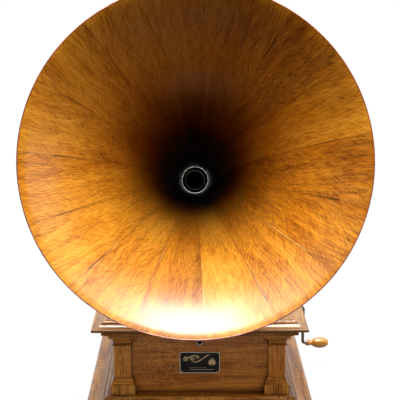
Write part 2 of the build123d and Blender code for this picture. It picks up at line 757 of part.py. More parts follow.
def bevel_gear(teeth, mate_teeth, module, width, bore, hub, phase):
    """A bevel gear whose cones meet at the origin. It opens along +Z, a tooth centred on phase."""
    cone = math.atan2(teeth, mate_teeth)
    outer = module * teeth / 2 / math.sin(cone)
    along = Vector(math.sin(cone), 0, math.cos(cone))
    outward = Vector(math.cos(cone), 0, -math.sin(cone))
    sideways = Vector(0, 1, 0)
    pressure_slope = math.tan(math.radians(20))
    inner = outer - width
    root_outer = along * outer - outward * (tooth_depth * module)
    root_inner = along * inner - outward * (tooth_depth * module * inner / outer)
    back = root_outer.Z + 3
    blank_points = [
        (bore, root_inner.Z),
        (root_inner.X, root_inner.Z),
        (root_outer.X, root_outer.Z),
        (root_outer.X, root_outer.Z + 1.5),
        (hub, back),
        (bore, back),
    ]
    gear = revolve(Plane.XZ * make_face(Polyline(*blank_points, close=True)), Axis.Z)
    sections = []
    for distance in (inner, outer):
        share = distance / outer
        corner_points = []
        for height in (-(tooth_depth + tooth_bury) * module, tooth_height * module):
            half_width = (math.pi * module / 4 - bevel_play / 4 - height * pressure_slope) * share
            middle = along * distance + outward * (height * share)
            pair = [middle - sideways * half_width, middle + sideways * half_width]
            corner_points += pair if not corner_points else reversed(pair)
        sections.append(make_face(Polyline(*corner_points, close=True)))
    tooth = loft(sections)
    for number in range(teeth):
        gear += Rot(0, 0, math.degrees(phase) + 360 * number / teeth) * tooth
    return gear


# ---- Motor places --------------------------------------------------------------------------------

winding_distance = winding_module * (winding_teeth + arbor_teeth) / 2
great_distance = great_module * (great_teeth + inner_teeth) / 2
barrel_y = spindle_y + great_distance * math.cos(math.radians(great_lean))
barrel_z = crank_z - math.sqrt(winding_distance**2 - (crank_y - barrel_y) ** 2)
inner_z = barrel_z + great_distance * math.sin(math.radians(great_lean))
great_x = barrel_left - great_width - 2
arbor_wheel_width = 8.0


def facing_x(x, y, z):
    """A plane across the X axis, with its own X along +Y and its own Y along +Z."""
    return Plane(origin=(x, y, z), x_dir=(0, 1, 0), z_dir=(1, 0, 0))


def angle_between(y_from, z_from, y_to, z_to):
    """Angle of a line in the YZ plane."""
    return math.atan2(z_to - z_from, y_to - y_from)


# ---- Barrel, arbor and winding gears ---------------------------------------------------------------

barrel_place = facing_x(barrel_left, barrel_y, barrel_z)
drum = Cylinder(barrel_radius, barrel_length, align=(Align.CENTER, Align.CENTER, Align.MIN))
drum -= Pos(0, 0, -1) * Cylinder(
    barrel_radius - 2, barrel_length - 1, align=(Align.CENTER, Align.CENTER, Align.MIN)
)
drum -= Cylinder(arbor_radius + running, barrel_length * 3)
save("spring_barrel", barrel_place * drum)

to_inner = angle_between(barrel_y, barrel_z, spindle_y, inner_z)
great_gear = spur_gear(great_teeth, great_module, great_width, arbor_radius + running, to_inner)
great_gear += ring((0, 0, great_width), (0, 0, 1), 2, barrel_radius - 2 - seat, arbor_radius + running)
great_gear = facing_x(great_x, barrel_y, barrel_z) * great_gear
save("great_gear", great_gear)
spring = ring((0, 0, 2), (0, 0, 1), barrel_length - 8, barrel_radius - 2.3, barrel_radius - 16)
save("mainspring", barrel_place * spring)

arbor_left = great_x - 24
arbor_right = arbor_wheel_x + arbor_wheel_width + 4
save(
    "winding_arbor",
    rod((arbor_left, barrel_y, barrel_z), (1, 0, 0), arbor_right - arbor_left, arbor_radius),
)
to_crank = angle_between(barrel_y, barrel_z, crank_y, crank_z)
arbor_wheel = spur_gear(arbor_teeth, winding_module, arbor_wheel_width, arbor_radius + seat, to_crank)
save("arbor_wheel", facing_x(arbor_wheel_x, barrel_y, barrel_z) * arbor_wheel)

right_bracket_x = barrel_left + barrel_length + 12
winding_left = right_bracket_x - 2
winding_right = post_face + 12
winding_phase = to_crank + math.pi + math.pi / winding_teeth
winding_pinion = spur_gear(
    winding_teeth, winding_module, arbor_wheel_width + 2, shaft_radius - 1, winding_phase
)
winding_shaft = facing_x(arbor_wheel_x - 1, crank_y, crank_z) * winding_pinion
winding_shaft += rod(
    (winding_left, crank_y, crank_z), (1, 0, 0), winding_right - winding_left, shaft_radius
)
rod_bore_depth = 20.0
winding_shaft -= rod(
    (winding_right - rod_bore_depth, crank_y, crank_z), (1, 0, 0), rod_bore_depth + 1, rod_radius + seat
)
save("winding_shaft", winding_shaft)

# ---- Intermediate shaft and bevel pair -------------------------------------------------------------

inner_left = arbor_left
bevel_plane = Plane(origin=(0, spindle_y, inner_z), x_dir=(0, 0, -1), z_dir=(-1, 0, 0))
bevel = bevel_gear(bevel_teeth, bevel_pinion_teeth, bevel_module, bevel_width, 4 + seat, 9, 0)
bevel = bevel_plane * bevel
save("bevel_gear", bevel)
inner_right = bevel.bounding_box().max.X
inner_phase = to_inner + math.pi + math.pi / inner_teeth
inner_shaft = facing_x(great_x - 1, spindle_y, inner_z) * spur_gear(
    inner_teeth, great_module, great_width + 2, 2, inner_phase
)
inner_shaft += rod((inner_left, spindle_y, inner_z), (1, 0, 0), inner_right - inner_left, 4)
save("intermediate_shaft", inner_shaft)

pinion_plane = Plane(origin=(0, spindle_y, inner_z), x_dir=(-1, 0, 0), z_dir=(0, 0, -1))
bevel_pinion = bevel_gear(
    bevel_pinion_teeth,
    bevel_teeth,
    bevel_module,
    bevel_width,
    spindle_radius + seat,
    7,
    math.pi / bevel_pinion_teeth,
)
save("spindle_pinion", pinion_plane * bevel_pinion)

# ---- Governor --------------------------------------------------------------------------------------

governor_distance = governor_module * (governor_teeth + governor_pinion_teeth) / 2
to_governor = math.radians(governor_direction)
governor_x = governor_distance * math.cos(to_governor)
governor_y = spindle_y + governor_distance * math.sin(to_governor)
governor_z = base_plate_top + 12
governor_gear_width = 6.0
governor_wheel = spur_gear(
    governor_teeth, governor_module, governor_gear_width, spindle_radius + seat, to_governor
)
governor_wheel += ring((0, 0, governor_gear_width), (0, 0, 1), 6, 9, spindle_radius + seat)
save("governor_wheel", Pos(0, spindle_y, governor_z) * governor_wheel)

governor_phase = to_governor + math.pi + math.pi / governor_pinion_teeth
governor_spindle = Pos(0, 0, governor_z - 1) * spur_gear(
    governor_pinion_teeth, governor_module, governor_gear_width + 2, 1, governor_phase
)
governor_spindle += rod((0, 0, base_plate_bottom + 1), (0, 0, 1), frame_top - base_plate_bottom - 2, 3)
governor_place = Pos(governor_x, governor_y, 0)
save("governor_spindle", governor_place * governor_spindle)

lower_collar_z = governor_z + 14
upper_collar_z = lower_collar_z + 62
weights = []
leaf_springs = []
for number in range(3):
    turn = Rot(0, 0, 120 * number)
    strip = block((8.2, 9), (-2.5, 2.5), (lower_collar_z, upper_collar_z + 6))
    weight = Pos(12.5, 0, (lower_collar_z + upper_collar_z + 6) / 2) * Rot(0, 90, 0) * Cylinder(6.5, 7)
    leaf_springs.append(governor_place * turn * strip)
    weights.append(governor_place * turn * weight)
save("governor_weights", *weights, *leaf_springs)
collar = ring((0, 0, lower_collar_z), (0, 0, 1), 6, 8, 3 + seat)
disc = ring((0, 0, upper_collar_z), (0, 0, 1), 6, 8, 3 + seat)
disc += ring((0, 0, upper_collar_z + 6), (0, 0, 1), 2, 18, 3 + seat)
for number in range(3):
    foot = block((7.5, 8.2), (-2.5, 2.5), (0, 6))
    collar += Rot(0, 0, 120 * number) * Pos(0, 0, lower_collar_z) * foot
    disc += Rot(0, 0, 120 * number) * Pos(0, 0, upper_collar_z) * foot
save("governor_collars", governor_place * collar, governor_place * disc)

# ---- Motor frame -----------------------------------------------------------------------------------

frame_x = (great_x - 30, 94.0)
frame_y = (governor_y - 30, barrel_y + 66)
frame_box = block(frame_x, frame_y, (frame_bottom, frame_top))
motor_frame = fillet(frame_box.edges().filter_by(Axis.Z), 10)


def hanging_plate(x, y_span, bottom):
    """A bearing plate 6 thick that hangs from the frame's top plate."""
    return block((x, x + 6), y_span, (bottom, frame_bottom + 1))


left_bracket_x = arbor_left + 2
motor_frame += hanging_plate(left_bracket_x, (spindle_y - 12, barrel_y + 14), barrel_z - 14)
motor_frame += hanging_plate(right_bracket_x, (barrel_y - 14, crank_y + 14), barrel_z - 14)
middle_bracket_x = barrel_left + 3
motor_frame += hanging_plate(middle_bracket_x, (spindle_y - 8, spindle_y + 8), inner_z - 9)
motor_frame -= rod((left_bracket_x - 1, barrel_y, barrel_z), (1, 0, 0), 300, arbor_radius + running)
motor_frame -= rod((left_bracket_x - 1, spindle_y, inner_z), (1, 0, 0), 60, 4 + running)
motor_frame -= rod((right_bracket_x - 1, crank_y, crank_z), (1, 0, 0), 8, shaft_radius + running)
motor_frame -= rod((*spindle_axis, frame_bottom - 1), (0, 0, 1), 9, spindle_radius + running)
governor_foot = (governor_x, governor_y)
motor_frame -= rod((*governor_foot, frame_bottom - 1), (0, 0, 1), 9, 3 + running)

base_plate_box = block(frame_x, frame_y, (base_plate_bottom, base_plate_top))
base_plate = fillet(base_plate_box.edges().filter_by(Axis.Z), 10)
base_plate -= rod((*spindle_axis, base_plate_bottom + 1 - 0.01), (0, 0, 1), 9, spindle_radius + running)
base_plate -= rod((*governor_foot, base_plate_bottom + 1 - 0.01), (0, 0, 1), 9, 3 + running)

corner_places = [(x, y) for x in (frame_x[0] + 8, frame_x[1] - 8) for y in (frame_y[0] + 8, frame_y[1] - 8)]
motor_board = block(
    (-lid_frame_inner, lid_frame_inner), (-lid_frame_inner, lid_frame_inner), (board_bottom, lid_top)
)
motor_board -= rod((*spindle_axis, 0), (0, 0, 1), 300, spindle_radius + 1.5)
pillars = []
bolts = []
for x, y in corner_places:
    pillars.append(rod((x, y, base_plate_top), (0, 0, 1), frame_bottom - base_plate_top, 5))
    screw = slotted_screw(6, 3, 2.5, lid_top - frame_bottom + 8)
    bolts.append(Pos(x, y, lid_top) * screw)
    hole = rod((x, y, frame_bottom - 10), (0, 0, 1), 300, 2.5 + seat)
    motor_board -= hole
    motor_frame += rod((x, y, frame_top - 1), (0, 0, 1), board_bottom - frame_top + 1, 7)
    motor_frame -= hole
    pillars[-1] -= hole
save("motor_pillars", *pillars)
save("motor_bolts", *bolts)
save("motor_frame", motor_frame)
save("motor_base_plate", base_plate)

# ---- Crank -----------------------------------------------------------------------------------------

escutcheon_thickness = 2.5
crank_point = (crank_y, crank_z)
crank_bore = shaft_radius + running
crank_escutcheon = ring((panel_face, *crank_point), (1, 0, 0), escutcheon_thickness, 13, crank_bore)
outer_face = crank_escutcheon.faces().sort_by(Axis.X)[-1]
crank_escutcheon = chamfer(outer_face.edges().sort_by(SortBy.LENGTH)[-1], 1.2)
save("crank_escutcheon", crank_escutcheon)
right_panel -= rod((panel_inner - 1, *crank_point), (1, 0, 0), 20, shaft_radius + 1)
save("right_panel", right_panel)
save("left_panel", left_panel)

handle_bottom = crank_z - crank_throw
grip_start = crank_plane + 6
rod_end = grip_start + handle_length - 7
rod_line = FilletPolyline(
    (winding_right - rod_bore_depth + 1, *crank_point),
    (crank_plane, *crank_point),
    (crank_plane, crank_y, handle_bottom),
    (rod_end, crank_y, handle_bottom),
    radius=[9, 5],
)
crank_rod = sweep(Plane(origin=rod_line @ 0, z_dir=(1, 0, 0)) * Circle(rod_radius), path=rod_line)
save("crank_rod", crank_rod)

handle_place = Plane(origin=(grip_start, crank_y, handle_bottom), x_dir=(0, 1, 0), z_dir=(1, 0, 0))
ferrule_length = 3.5
ferrule = Cylinder(6.2, ferrule_length, align=(Align.CENTER, Align.CENTER, Align.MIN))
ferrule = chamfer(ferrule.edges().filter_by(GeomType.CIRCLE), 0.6)
ferrule -= Cylinder(rod_radius + running, 20)
save("handle_ferrule", handle_place * ferrule)
grip_outline = Spline(
    (5.6, ferrule_length),
    (7.2, 6.5),
    (5.4, 11.0),
    (5.8, 13.5),
    (9.6, 20.0),
    (handle_radius, 31.0),
    (10.2, 42.0),
    (5.0, handle_length - 1.2),
    (0, handle_length),
)
grip_end = Line((0, ferrule_length), (5.6, ferrule_length))
grip_axis = Line((0, handle_length), (0, ferrule_length))
grip_face = Plane.XZ * make_face(grip_end + grip_outline + grip_axis)
grip = revolve(grip_face, Axis.Z)
grip -= Cylinder(rod_radius + running, (handle_length - 7 + free) * 2)
save("crank_handle", handle_place * grip)

# ---- Brake and speed control -----------------------------------------------------------------------

rim_clear = platter_radius + free
to_rim = Vector(brake_x, brake_y - spindle_y, 0).normalized()
pad_point = Vector(0, spindle_y, 0) + to_rim * rim_clear
pad_bottom = platter_top - platter_rim_depth + 2
pad_height = 8.0
pad_depth = 8.0
lever_bottom = lid_top + free
lever_length = 40.0
lever_width = 8.0
lever_thickness = 3.0


def beside_rim(z):
    """A plane at the platter's rim, its X pointing away from the spindle."""
    return Plane(origin=(pad_point.X, pad_point.Y, z), x_dir=to_rim, z_dir=(0, 0, 1))


low_corner = (Align.MIN, Align.CENTER, Align.MIN)
pad = beside_rim(pad_bottom) * Box(pad_depth, 10, pad_height, align=low_corner)
pad -= rod((*spindle_axis, pad_bottom - 1), (0, 0, 1), 60, rim_clear)
save("brake_pad", pad)
lever_place = beside_rim(lever_bottom) * Pos(pad_depth - 4, 0, 0)
lever = lever_place * Pos(0, lever_length / 2 - 6, 0) * Box(
    lever_width, lever_length, lever_thickness, align=low_corner
)
upstand_height = pad_bottom + pad_height - lever_bottom
lever += lever_place * Pos(4, 0, 0) * Box(3, 10, upstand_height, align=low_corner)
brake_pivot = beside_rim(lever_bottom).from_local_coords(Vector(pad_depth, lever_length - 12, 0))
brake_point = (brake_pivot.X, brake_pivot.Y)
lever += rod((*brake_point, lever_bottom), (0, 0, 1), lever_thickness, 6)
lever -= rod((*brake_point, lever_bottom - 1), (0, 0, 1), 20, 2.5 + running)
save("brake_lever", lever)
washer_top = lever_bottom + lever_thickness + free
save("brake_screw", Pos(*brake_point, washer_top) * slotted_screw(4.5, 2.4, 2.5, washer_top - lid_top + 8))
motor_board -= rod((*brake_point, lid_top - 9), (0, 0, 1), 20, 2.5 + seat)

knob = rod((knob_x, knob_y, lid_top + free), (0, 0, 1), 7, 8)
knob = fillet(knob.edges().filter_by(GeomType.CIRCLE).sort_by(Axis.Z)[-1], 2)
knob += rod((knob_x, knob_y, board_bottom - 12), (0, 0, 1), lid_top - board_bottom + 13, 3)
pointer = block((knob_x - 1.5, knob_x + 1.5), (knob_y - 15, knob_y), (lid_top + free, lid_top + 2.5))
save("speed_knob", knob + pointer)
motor_board -= rod((knob_x, knob_y, 0), (0, 0, 1), 300, 3 + running)
save("motor_board", motor_board)
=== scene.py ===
"""Looks of a disc gramophone with an oak horn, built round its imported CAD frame. Lengths are in metres."""

import json
import math
import random

import bpy
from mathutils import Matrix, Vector


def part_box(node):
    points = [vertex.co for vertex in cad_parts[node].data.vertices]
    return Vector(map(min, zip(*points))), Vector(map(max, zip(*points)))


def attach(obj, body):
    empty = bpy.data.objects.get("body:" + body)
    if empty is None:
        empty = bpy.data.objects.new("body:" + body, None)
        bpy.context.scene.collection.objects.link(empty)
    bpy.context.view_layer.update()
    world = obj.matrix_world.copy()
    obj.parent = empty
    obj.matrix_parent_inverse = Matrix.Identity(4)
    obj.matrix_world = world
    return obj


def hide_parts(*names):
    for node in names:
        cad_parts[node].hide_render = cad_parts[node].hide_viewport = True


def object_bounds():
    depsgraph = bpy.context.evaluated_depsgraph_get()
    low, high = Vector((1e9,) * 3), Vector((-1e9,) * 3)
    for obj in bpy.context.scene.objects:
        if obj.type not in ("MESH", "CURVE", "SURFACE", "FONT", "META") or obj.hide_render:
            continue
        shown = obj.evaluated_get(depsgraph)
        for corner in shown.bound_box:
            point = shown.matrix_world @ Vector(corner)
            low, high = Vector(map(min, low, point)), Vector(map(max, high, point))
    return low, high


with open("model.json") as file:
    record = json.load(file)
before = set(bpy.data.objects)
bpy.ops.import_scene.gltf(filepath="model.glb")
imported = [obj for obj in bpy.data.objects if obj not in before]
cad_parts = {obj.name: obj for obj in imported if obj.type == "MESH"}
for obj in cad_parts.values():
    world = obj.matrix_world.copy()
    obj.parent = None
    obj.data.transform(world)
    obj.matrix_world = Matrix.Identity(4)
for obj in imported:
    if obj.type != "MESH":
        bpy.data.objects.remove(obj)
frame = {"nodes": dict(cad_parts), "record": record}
cad_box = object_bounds()

# ---- Horn sizes, as the frame has them -------------------------------------------------------------
horn_tilt = math.radians(16.2)
horn_length = 0.578
rim_width = 0.008
throat_radius = 0.031
mouth_radius = 0.294  # inner radius at the ends of the staves
horn_wall = 0.006
staves = 15
first_seam = math.radians(-87)
wood_length = horn_length - rim_width
flare = math.log(mouth_radius / throat_radius) / wood_length
horn_axis = Vector((0, -math.cos(horn_tilt), math.sin(horn_tilt)))
horn_up = Vector((0, math.sin(horn_tilt), math.cos(horn_tilt)))

stave_angle = 2 * math.pi / staves

# The staves' lip, which rolls over the rim: its length, and how far its inner and outer edges come
# outwards and forwards from the ends of the staves.
lip_length = 0.008
inner_lip = (0.0083, 0.0042)
outer_lip = (0.0035, 0.003)

crack_tip = 0.0005  # half width of a cracked seam where it starts to open
pale_start = 0.4  # where the pale edges of the lower seams start, from the throat
pale_length = 0.16

# The metal at the throat.
sleeve_length = 0.045
elbow_straight = 0.015  # how far the sleeve reaches behind the throat
throat_bore = 0.0213
bore_wall = 0.0006
throat_flange = 0.0304
neck_radius = 0.029

rim_middle = 0.0022  # from the ends of the staves forwards to the middle of the rim's box
rim_low, rim_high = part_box("horn_rim")
throat = (rim_low + rim_high) / 2 - horn_axis * (wood_length + rim_middle)

# ---- Camera and light ------------------------------------------------------------------------------
camera_place = Vector((-0.0143, -2.0082, 0.904))
camera_pitch = math.radians(14.04)  # downwards
camera_yaw = math.radians(0.458)  # to the right
camera_lens = 90.0  # millimetres
camera_sensor = 36.0  # millimetres

white = (1.0, 1.0, 1.0, 1.0)
warm_white = (1.0, 0.98, 0.95)


# ---- Material building -----------------------------------------------------------------------------


class Nodes:
    """A node tree under construction, with short calls for the nodes that it is made of."""

    def __init__(self, owner):
        """Starts the tree of a material or a world, with no nodes in it."""
        owner.use_nodes = True
        self.tree = owner.node_tree
        self.tree.nodes.clear()

    def put(self, socket, value):
        """Links a socket to another, or sets its number or colour."""
        if isinstance(value, bpy.types.NodeSocket):
            self.tree.links.new(value, socket)
        else:
            socket.default_value = value

    def add(self, kind, inputs=None, **settings):
        """A new node with its settings and inputs."""
        node = self.tree.nodes.new(kind)
        for key, value in settings.items():
            setattr(node, key, value)
        for key, value in (inputs or {}).items():
            self.put(node.inputs[key], value)
        return node

    def math(self, operation, a, b=0.0, c=0.0):
        """A number worked out from up to three others."""
        return self.add("ShaderNodeMath", {0: a, 1: b, 2: c}, operation=operation).outputs[0]

    def vector(self, operation, a, b):
        """A vector worked out from two others."""
        return self.add("ShaderNodeVectorMath", {0: a, 1: b}, operation=operation).outputs[0]

    def dot(self, a, b):
        """The dot product of two vectors."""
        return self.add("ShaderNodeVectorMath", {0: a, 1: b}, operation="DOT_PRODUCT").outputs["Value"]

    def combine(self, x, y, z):
        """A vector from its three numbers."""
        return self.add("ShaderNodeCombineXYZ", {0: x, 1: y, 2: z}).outputs[0]

    def split(self, vector):
        """The three numbers of a vector."""
        return self.add("ShaderNodeSeparateXYZ", {0: vector}).outputs

    def noise(self, place, scale, detail, roughness=0.5, distortion=0.0):
        """Noise from 0 to 1. Scale is how many of its cells go to a metre along X, Y and Z."""
        inputs = {"Vector": self.vector("MULTIPLY", place, scale), "Scale": 1.0, "Detail": detail}
        inputs |= {"Roughness": roughness, "Distortion": distortion}
        return self.add("ShaderNodeTexNoise", inputs).outputs[0]

    def step(self, value, low, high, to_low=0.0, to_high=1.0):
        """A smooth step from to_low to to_high, while value goes from low to high."""
        inputs = {0: value, 1: low, 2: high, 3: to_low, 4: to_high}
        return self.add("ShaderNodeMapRange", inputs, interpolation_type="SMOOTHSTEP").outputs[0]

    def ramp(self, value, *stops):
        """A colour ramp through (position, colour) stops."""
        node = self.add("ShaderNodeValToRGB", {0: value})
        elements = node.color_ramp.elements
        while len(elements) < len(stops):
            elements.new(1.0)
        for element, (position, colour) in zip(elements, stops):
            element.position = position
            element.color = (*colour, 1.0)
        return node.outputs[0]

    def mix(self, amount, a, b):
        """Colour a at an amount of 0, and colour b at an amount of 1."""
        node = self.add("ShaderNodeMix", data_type="RGBA")
        for index, value in ((0, amount), (6, a), (7, b)):
            self.put(node.inputs[index], (*value, 1.0) if isinstance(value, tuple) else value)
        return node.outputs[2]

    def bump(self, height, distance, strength, normal=None):
        """A normal that follows a height from 0 to 1, whose real height is distance."""
        inputs = {"Height": height, "Distance": distance, "Strength": strength}
        if normal is not None:
            inputs["Normal"] = normal
        return self.add("ShaderNodeBump", inputs).outputs[0]

    def round_edges(self, radius):
        """(normal with softened edges, how near an edge is from 0 to 1)."""
        soft = self.add("ShaderNodeBevel", {"Radius": radius}, samples=4).outputs[0]
        true_normal = self.add("ShaderNodeNewGeometry").outputs["True Normal"]
        bend = self.math("SUBTRACT", 1.0, self.dot(soft, true_normal))
        return soft, self.step(bend, 0.02, 0.25)

    def crevice(self, reach):
        """1 in corners and under ledges, where the painted shade goes, 0 on open faces."""
        open_share = self.add("ShaderNodeAmbientOcclusion", {"Distance": reach}, samples=6).outputs["AO"]
        return self.step(open_share, 0.8, 0.45)

    def place(self):
        """The point in the frame at rest."""
        return self.add("ShaderNodeTexCoord").outputs["Object"]

    def attribute(self, name):
        """A number that the mesh's points carry."""
        return self.add("ShaderNodeAttribute", attribute_name=name).outputs["Fac"]


class Paint(Nodes):
    """A material under construction, whose surface is one Principled shader."""

    def __init__(self, name):
        self.material = bpy.data.materials.new(name)
        super().__init__(self.material)
        self.output = self.add("ShaderNodeOutputMaterial")
        self.shader = self.add("ShaderNodeBsdfPrincipled")
        self.put(self.output.inputs["Surface"], self.shader.outputs["BSDF"])

    def set(self, **values):
        """Sets or links inputs of the surface shader, named with underscores."""
        for key, value in values.items():
            self.put(self.shader.inputs[key.replace("_", " ")], value)


def shift_of(name):
    """A steady offset for a pattern, so that no two pieces repeat it."""
    draw = random.Random(name)
    return tuple(draw.uniform(-7, 7) for axis in range(3))


def times(factor, colour):
    """A colour that is lighter or darker by a factor, and no lighter than 1."""
    return tuple(min(1.0, factor * part) for part in colour)


# ---- Oak -------------------------------------------------------------------------------------------

oak_coat = 0.35  # strength of the varnish
dull_coat = 0.08  # the same, where the varnish is worn off
oak_edge = 0.0008  # radius of the worn edges, which carry a painted highlight too
oak_pore_depth = 0.00012
crevice_shade_reach = 0.018  # how near another surface has to be for the painted shade to gather
foot_shadow_band = 0.007  # height of the painted shadow along the foot
foot_shade = 0.003  # height below which the painted shadow at the foot is fully dark


def grain_place(paint, grain):
    """The point with its X turned along the grain. Mitred frames turn at their corners."""
    x, y, z = paint.split(paint.place())
    if grain == "z":
        return paint.combine(z, x, y)
    if grain == "y":
        return paint.combine(y, x, z)
    if grain == "x":
        return paint.combine(x, y, z)
    side = paint.math("GREATER_THAN", paint.math("ABSOLUTE", x), paint.math("ABSOLUTE", y))
    turned = paint.combine(y, x, z)
    node = paint.add("ShaderNodeMix", data_type="VECTOR")
    for index, value in ((0, side), (4, paint.combine(x, y, z)), (5, turned)):
        paint.put(node.inputs[index], value)
    return node.outputs[1]


def oak_figure(paint, place):
    """(tone, pores, flecks) of quarter-sawn oak, each from 0 to 1, with the grain along X of place."""
    sway = paint.noise(place, (9, 14, 14), 1.0)
    lifted = paint.vector("ADD", place, paint.combine(0.0, paint.math("MULTIPLY", sway, 0.008), 0.0))
    bands = paint.noise(lifted, (3, 60, 60), 3.0, 0.6)
    fibres = paint.noise(lifted, (14, 420, 420), 3.0, 0.65)
    pores = paint.noise(lifted, (70, 2200, 2200), 1.0)
    curls = paint.noise(place, (150, 55, 55), 1.5, 0.5, 1.2)
    ribbon = paint.math("ABSOLUTE", paint.math("SUBTRACT", curls, 0.5))
    patches = paint.step(paint.noise(place, (11, 16, 16), 1.0), 0.42, 0.62)
    flecks = paint.math("MULTIPLY", paint.step(ribbon, 0.055, 0.012), patches)
    tone = paint.math("MULTIPLY_ADD", fibres, 0.62, paint.math("MULTIPLY", bands, 0.38))
    return tone, pores, flecks


def oak_paint(name, grain, tones, coat=oak_coat, foot=None):
    """Stained and varnished oak: fibres, pores, flecks, worn edges with a painted highlight, and painted
    shade in the corners.

    The tones are those of its dark, middle and pale fibres and of its flecks. Where foot gives a
    height, a painted shadow darkens the wood from there up to the shadow band's height above it.
    """
    dark, middle, pale, fleck = tones
    paint = Paint(name)
    place = paint.vector("ADD", grain_place(paint, grain), shift_of(name))
    tone, pores, flecks = oak_figure(paint, place)
    colour = paint.ramp(tone, (0.385, dark), (0.495, middle), (0.6, pale))
    colour = paint.mix(paint.math("MULTIPLY", flecks, 0.5), colour, fleck)
    open_pores = paint.step(pores, 0.4, 0.3)
    colour = paint.mix(paint.math("MULTIPLY", open_pores, 0.55), colour, times(0.35, dark))
    soft, worn = paint.round_edges(oak_edge)
    cloud = paint.noise(paint.place(), (22, 22, 22), 3.0)
    # Wear and painted highlight: the edges are lightened both where the varnish is worn and where light
    # would catch them.
    worn_and_lit_edges = paint.math("MULTIPLY", worn, paint.step(cloud, 0.35, 0.7, 0.1, 0.5))
    colour = paint.mix(worn_and_lit_edges, colour, times(1.25, pale))
    # Painted shade: the wood darkens in corners and under ledges, where shade falls.
    crevice_shade = paint.math("MULTIPLY", paint.crevice(crevice_shade_reach), 0.75)
    # Painted shadow: a dark band along the lowest part of the piece.
    if foot is not None:
        z = paint.split(paint.place())[2]
        shade = paint.step(z, foot + foot_shadow_band, foot + foot_shade, 0.0, 0.8)
        crevice_shade = paint.math("MAXIMUM", crevice_shade, shade)
    colour = paint.mix(crevice_shade, colour, times(0.3, dark))
    height = paint.math("SUBTRACT", paint.math("MULTIPLY", tone, 0.5), open_pores)
    paint.set(
        Base_Color=colour,
        Roughness=paint.math("MULTIPLY_ADD", cloud, 0.16, 0.26),
        Coat_Weight=coat,
        Coat_Roughness=0.12,
        Normal=paint.bump(height, oak_pore_depth, 0.6, soft),
    )
    return paint.material


# ---- Metal, felt and the rest ------------------------------------------------------------------------


def metal_paint(
    name, colour, roughness, smudge=0.12, grit=0.0, edge=0.0004, edge_gain=1.25, scale=60.0, dulling=0.72
):
    """Bare or plated metal with smudges, fine scratches and worn edges.

    Smudge is how much the roughness varies, grit the height of a cast surface's grain, edge the
    radius of the worn edges and edge_gain their brightness, scale the smudges to a metre, and
    dulling the brightness of the dull patches.
    """
    paint = Paint(name)
    place = paint.vector("ADD", paint.place(), shift_of(name))
    cloud = paint.noise(place, (scale, scale, scale), 4.0, 0.6)
    scratch = paint.noise(place, (900, 140, 2600), 2.0)
    soft, worn = paint.round_edges(edge)
    tint = paint.mix(paint.step(cloud, 0.35, 0.65), times(dulling, colour), colour)
    rough = paint.math("MULTIPLY_ADD", cloud, smudge, roughness - smudge / 2)
    rough = paint.math("MULTIPLY_ADD", scratch, 0.08, rough)
    height = paint.math("MULTIPLY_ADD", cloud, grit, paint.math("MULTIPLY", scratch, 0.05))
    paint.set(
        Base_Color=paint.mix(paint.math("MULTIPLY", worn, 0.6), tint, times(edge_gain, colour)),
        Metallic=1.0,
        Roughness=rough,
        Normal=paint.bump(height, 0.0003, 0.35, soft),
    )
    return paint.material


def coated_paint(name, colour, roughness, grain_scale, grain_depth, coat=0.0, sheen=0.0, spread=0.35):
    """A painted, pressed or soft surface: uneven colour by a share called spread, and a fine grain."""
    paint = Paint(name)
    place = paint.vector("ADD", paint.place(), shift_of(name))
    cloud = paint.noise(place, (35, 35, 35), 4.0, 0.6)
    fine = paint.noise(place, (grain_scale,) * 3, 3.0, 0.7)
    soft, worn = paint.round_edges(0.0004)
    dark = times(1 - spread, colour)
    pale = tuple(min(1.0, (1 + spread) * part + 0.004) for part in colour)
    tone = paint.math("MULTIPLY_ADD", fine, 0.5, paint.math("MULTIPLY", cloud, 0.5))
    tint = paint.ramp(tone, (0.32, dark), (0.5, colour), (0.68, pale))
    paint.set(
        Base_Color=paint.mix(paint.math("MULTIPLY", worn, 0.35), tint, times(2, pale)),
        Roughness=paint.math("MULTIPLY_ADD", cloud, 0.2, roughness - 0.1),
        Coat_Weight=coat,
        Sheen_Weight=sheen,
        Normal=paint.bump(fine, grain_depth, 0.8, soft),
    )
    return paint.material


def mica_paint():
    """A split sheet of mica: brownish, half clear, with cloudy layers."""
    paint = Paint("mica")
    layers = paint.noise(paint.place(), (90, 160, 60), 4.0, 0.6, 0.6)
    paint.set(
        Base_Color=paint.ramp(layers, (0.35, (0.55, 0.42, 0.25)), (0.6, (0.85, 0.78, 0.62))),
        Roughness=paint.math("MULTIPLY_ADD", layers, 0.2, 0.08),
        Transmission_Weight=0.45,
        IOR=1.58,
        Normal=paint.bump(layers, 0.0002, 0.5),
    )
    return paint.material


# ---- The horn's wood ---------------------------------------------------------------------------------


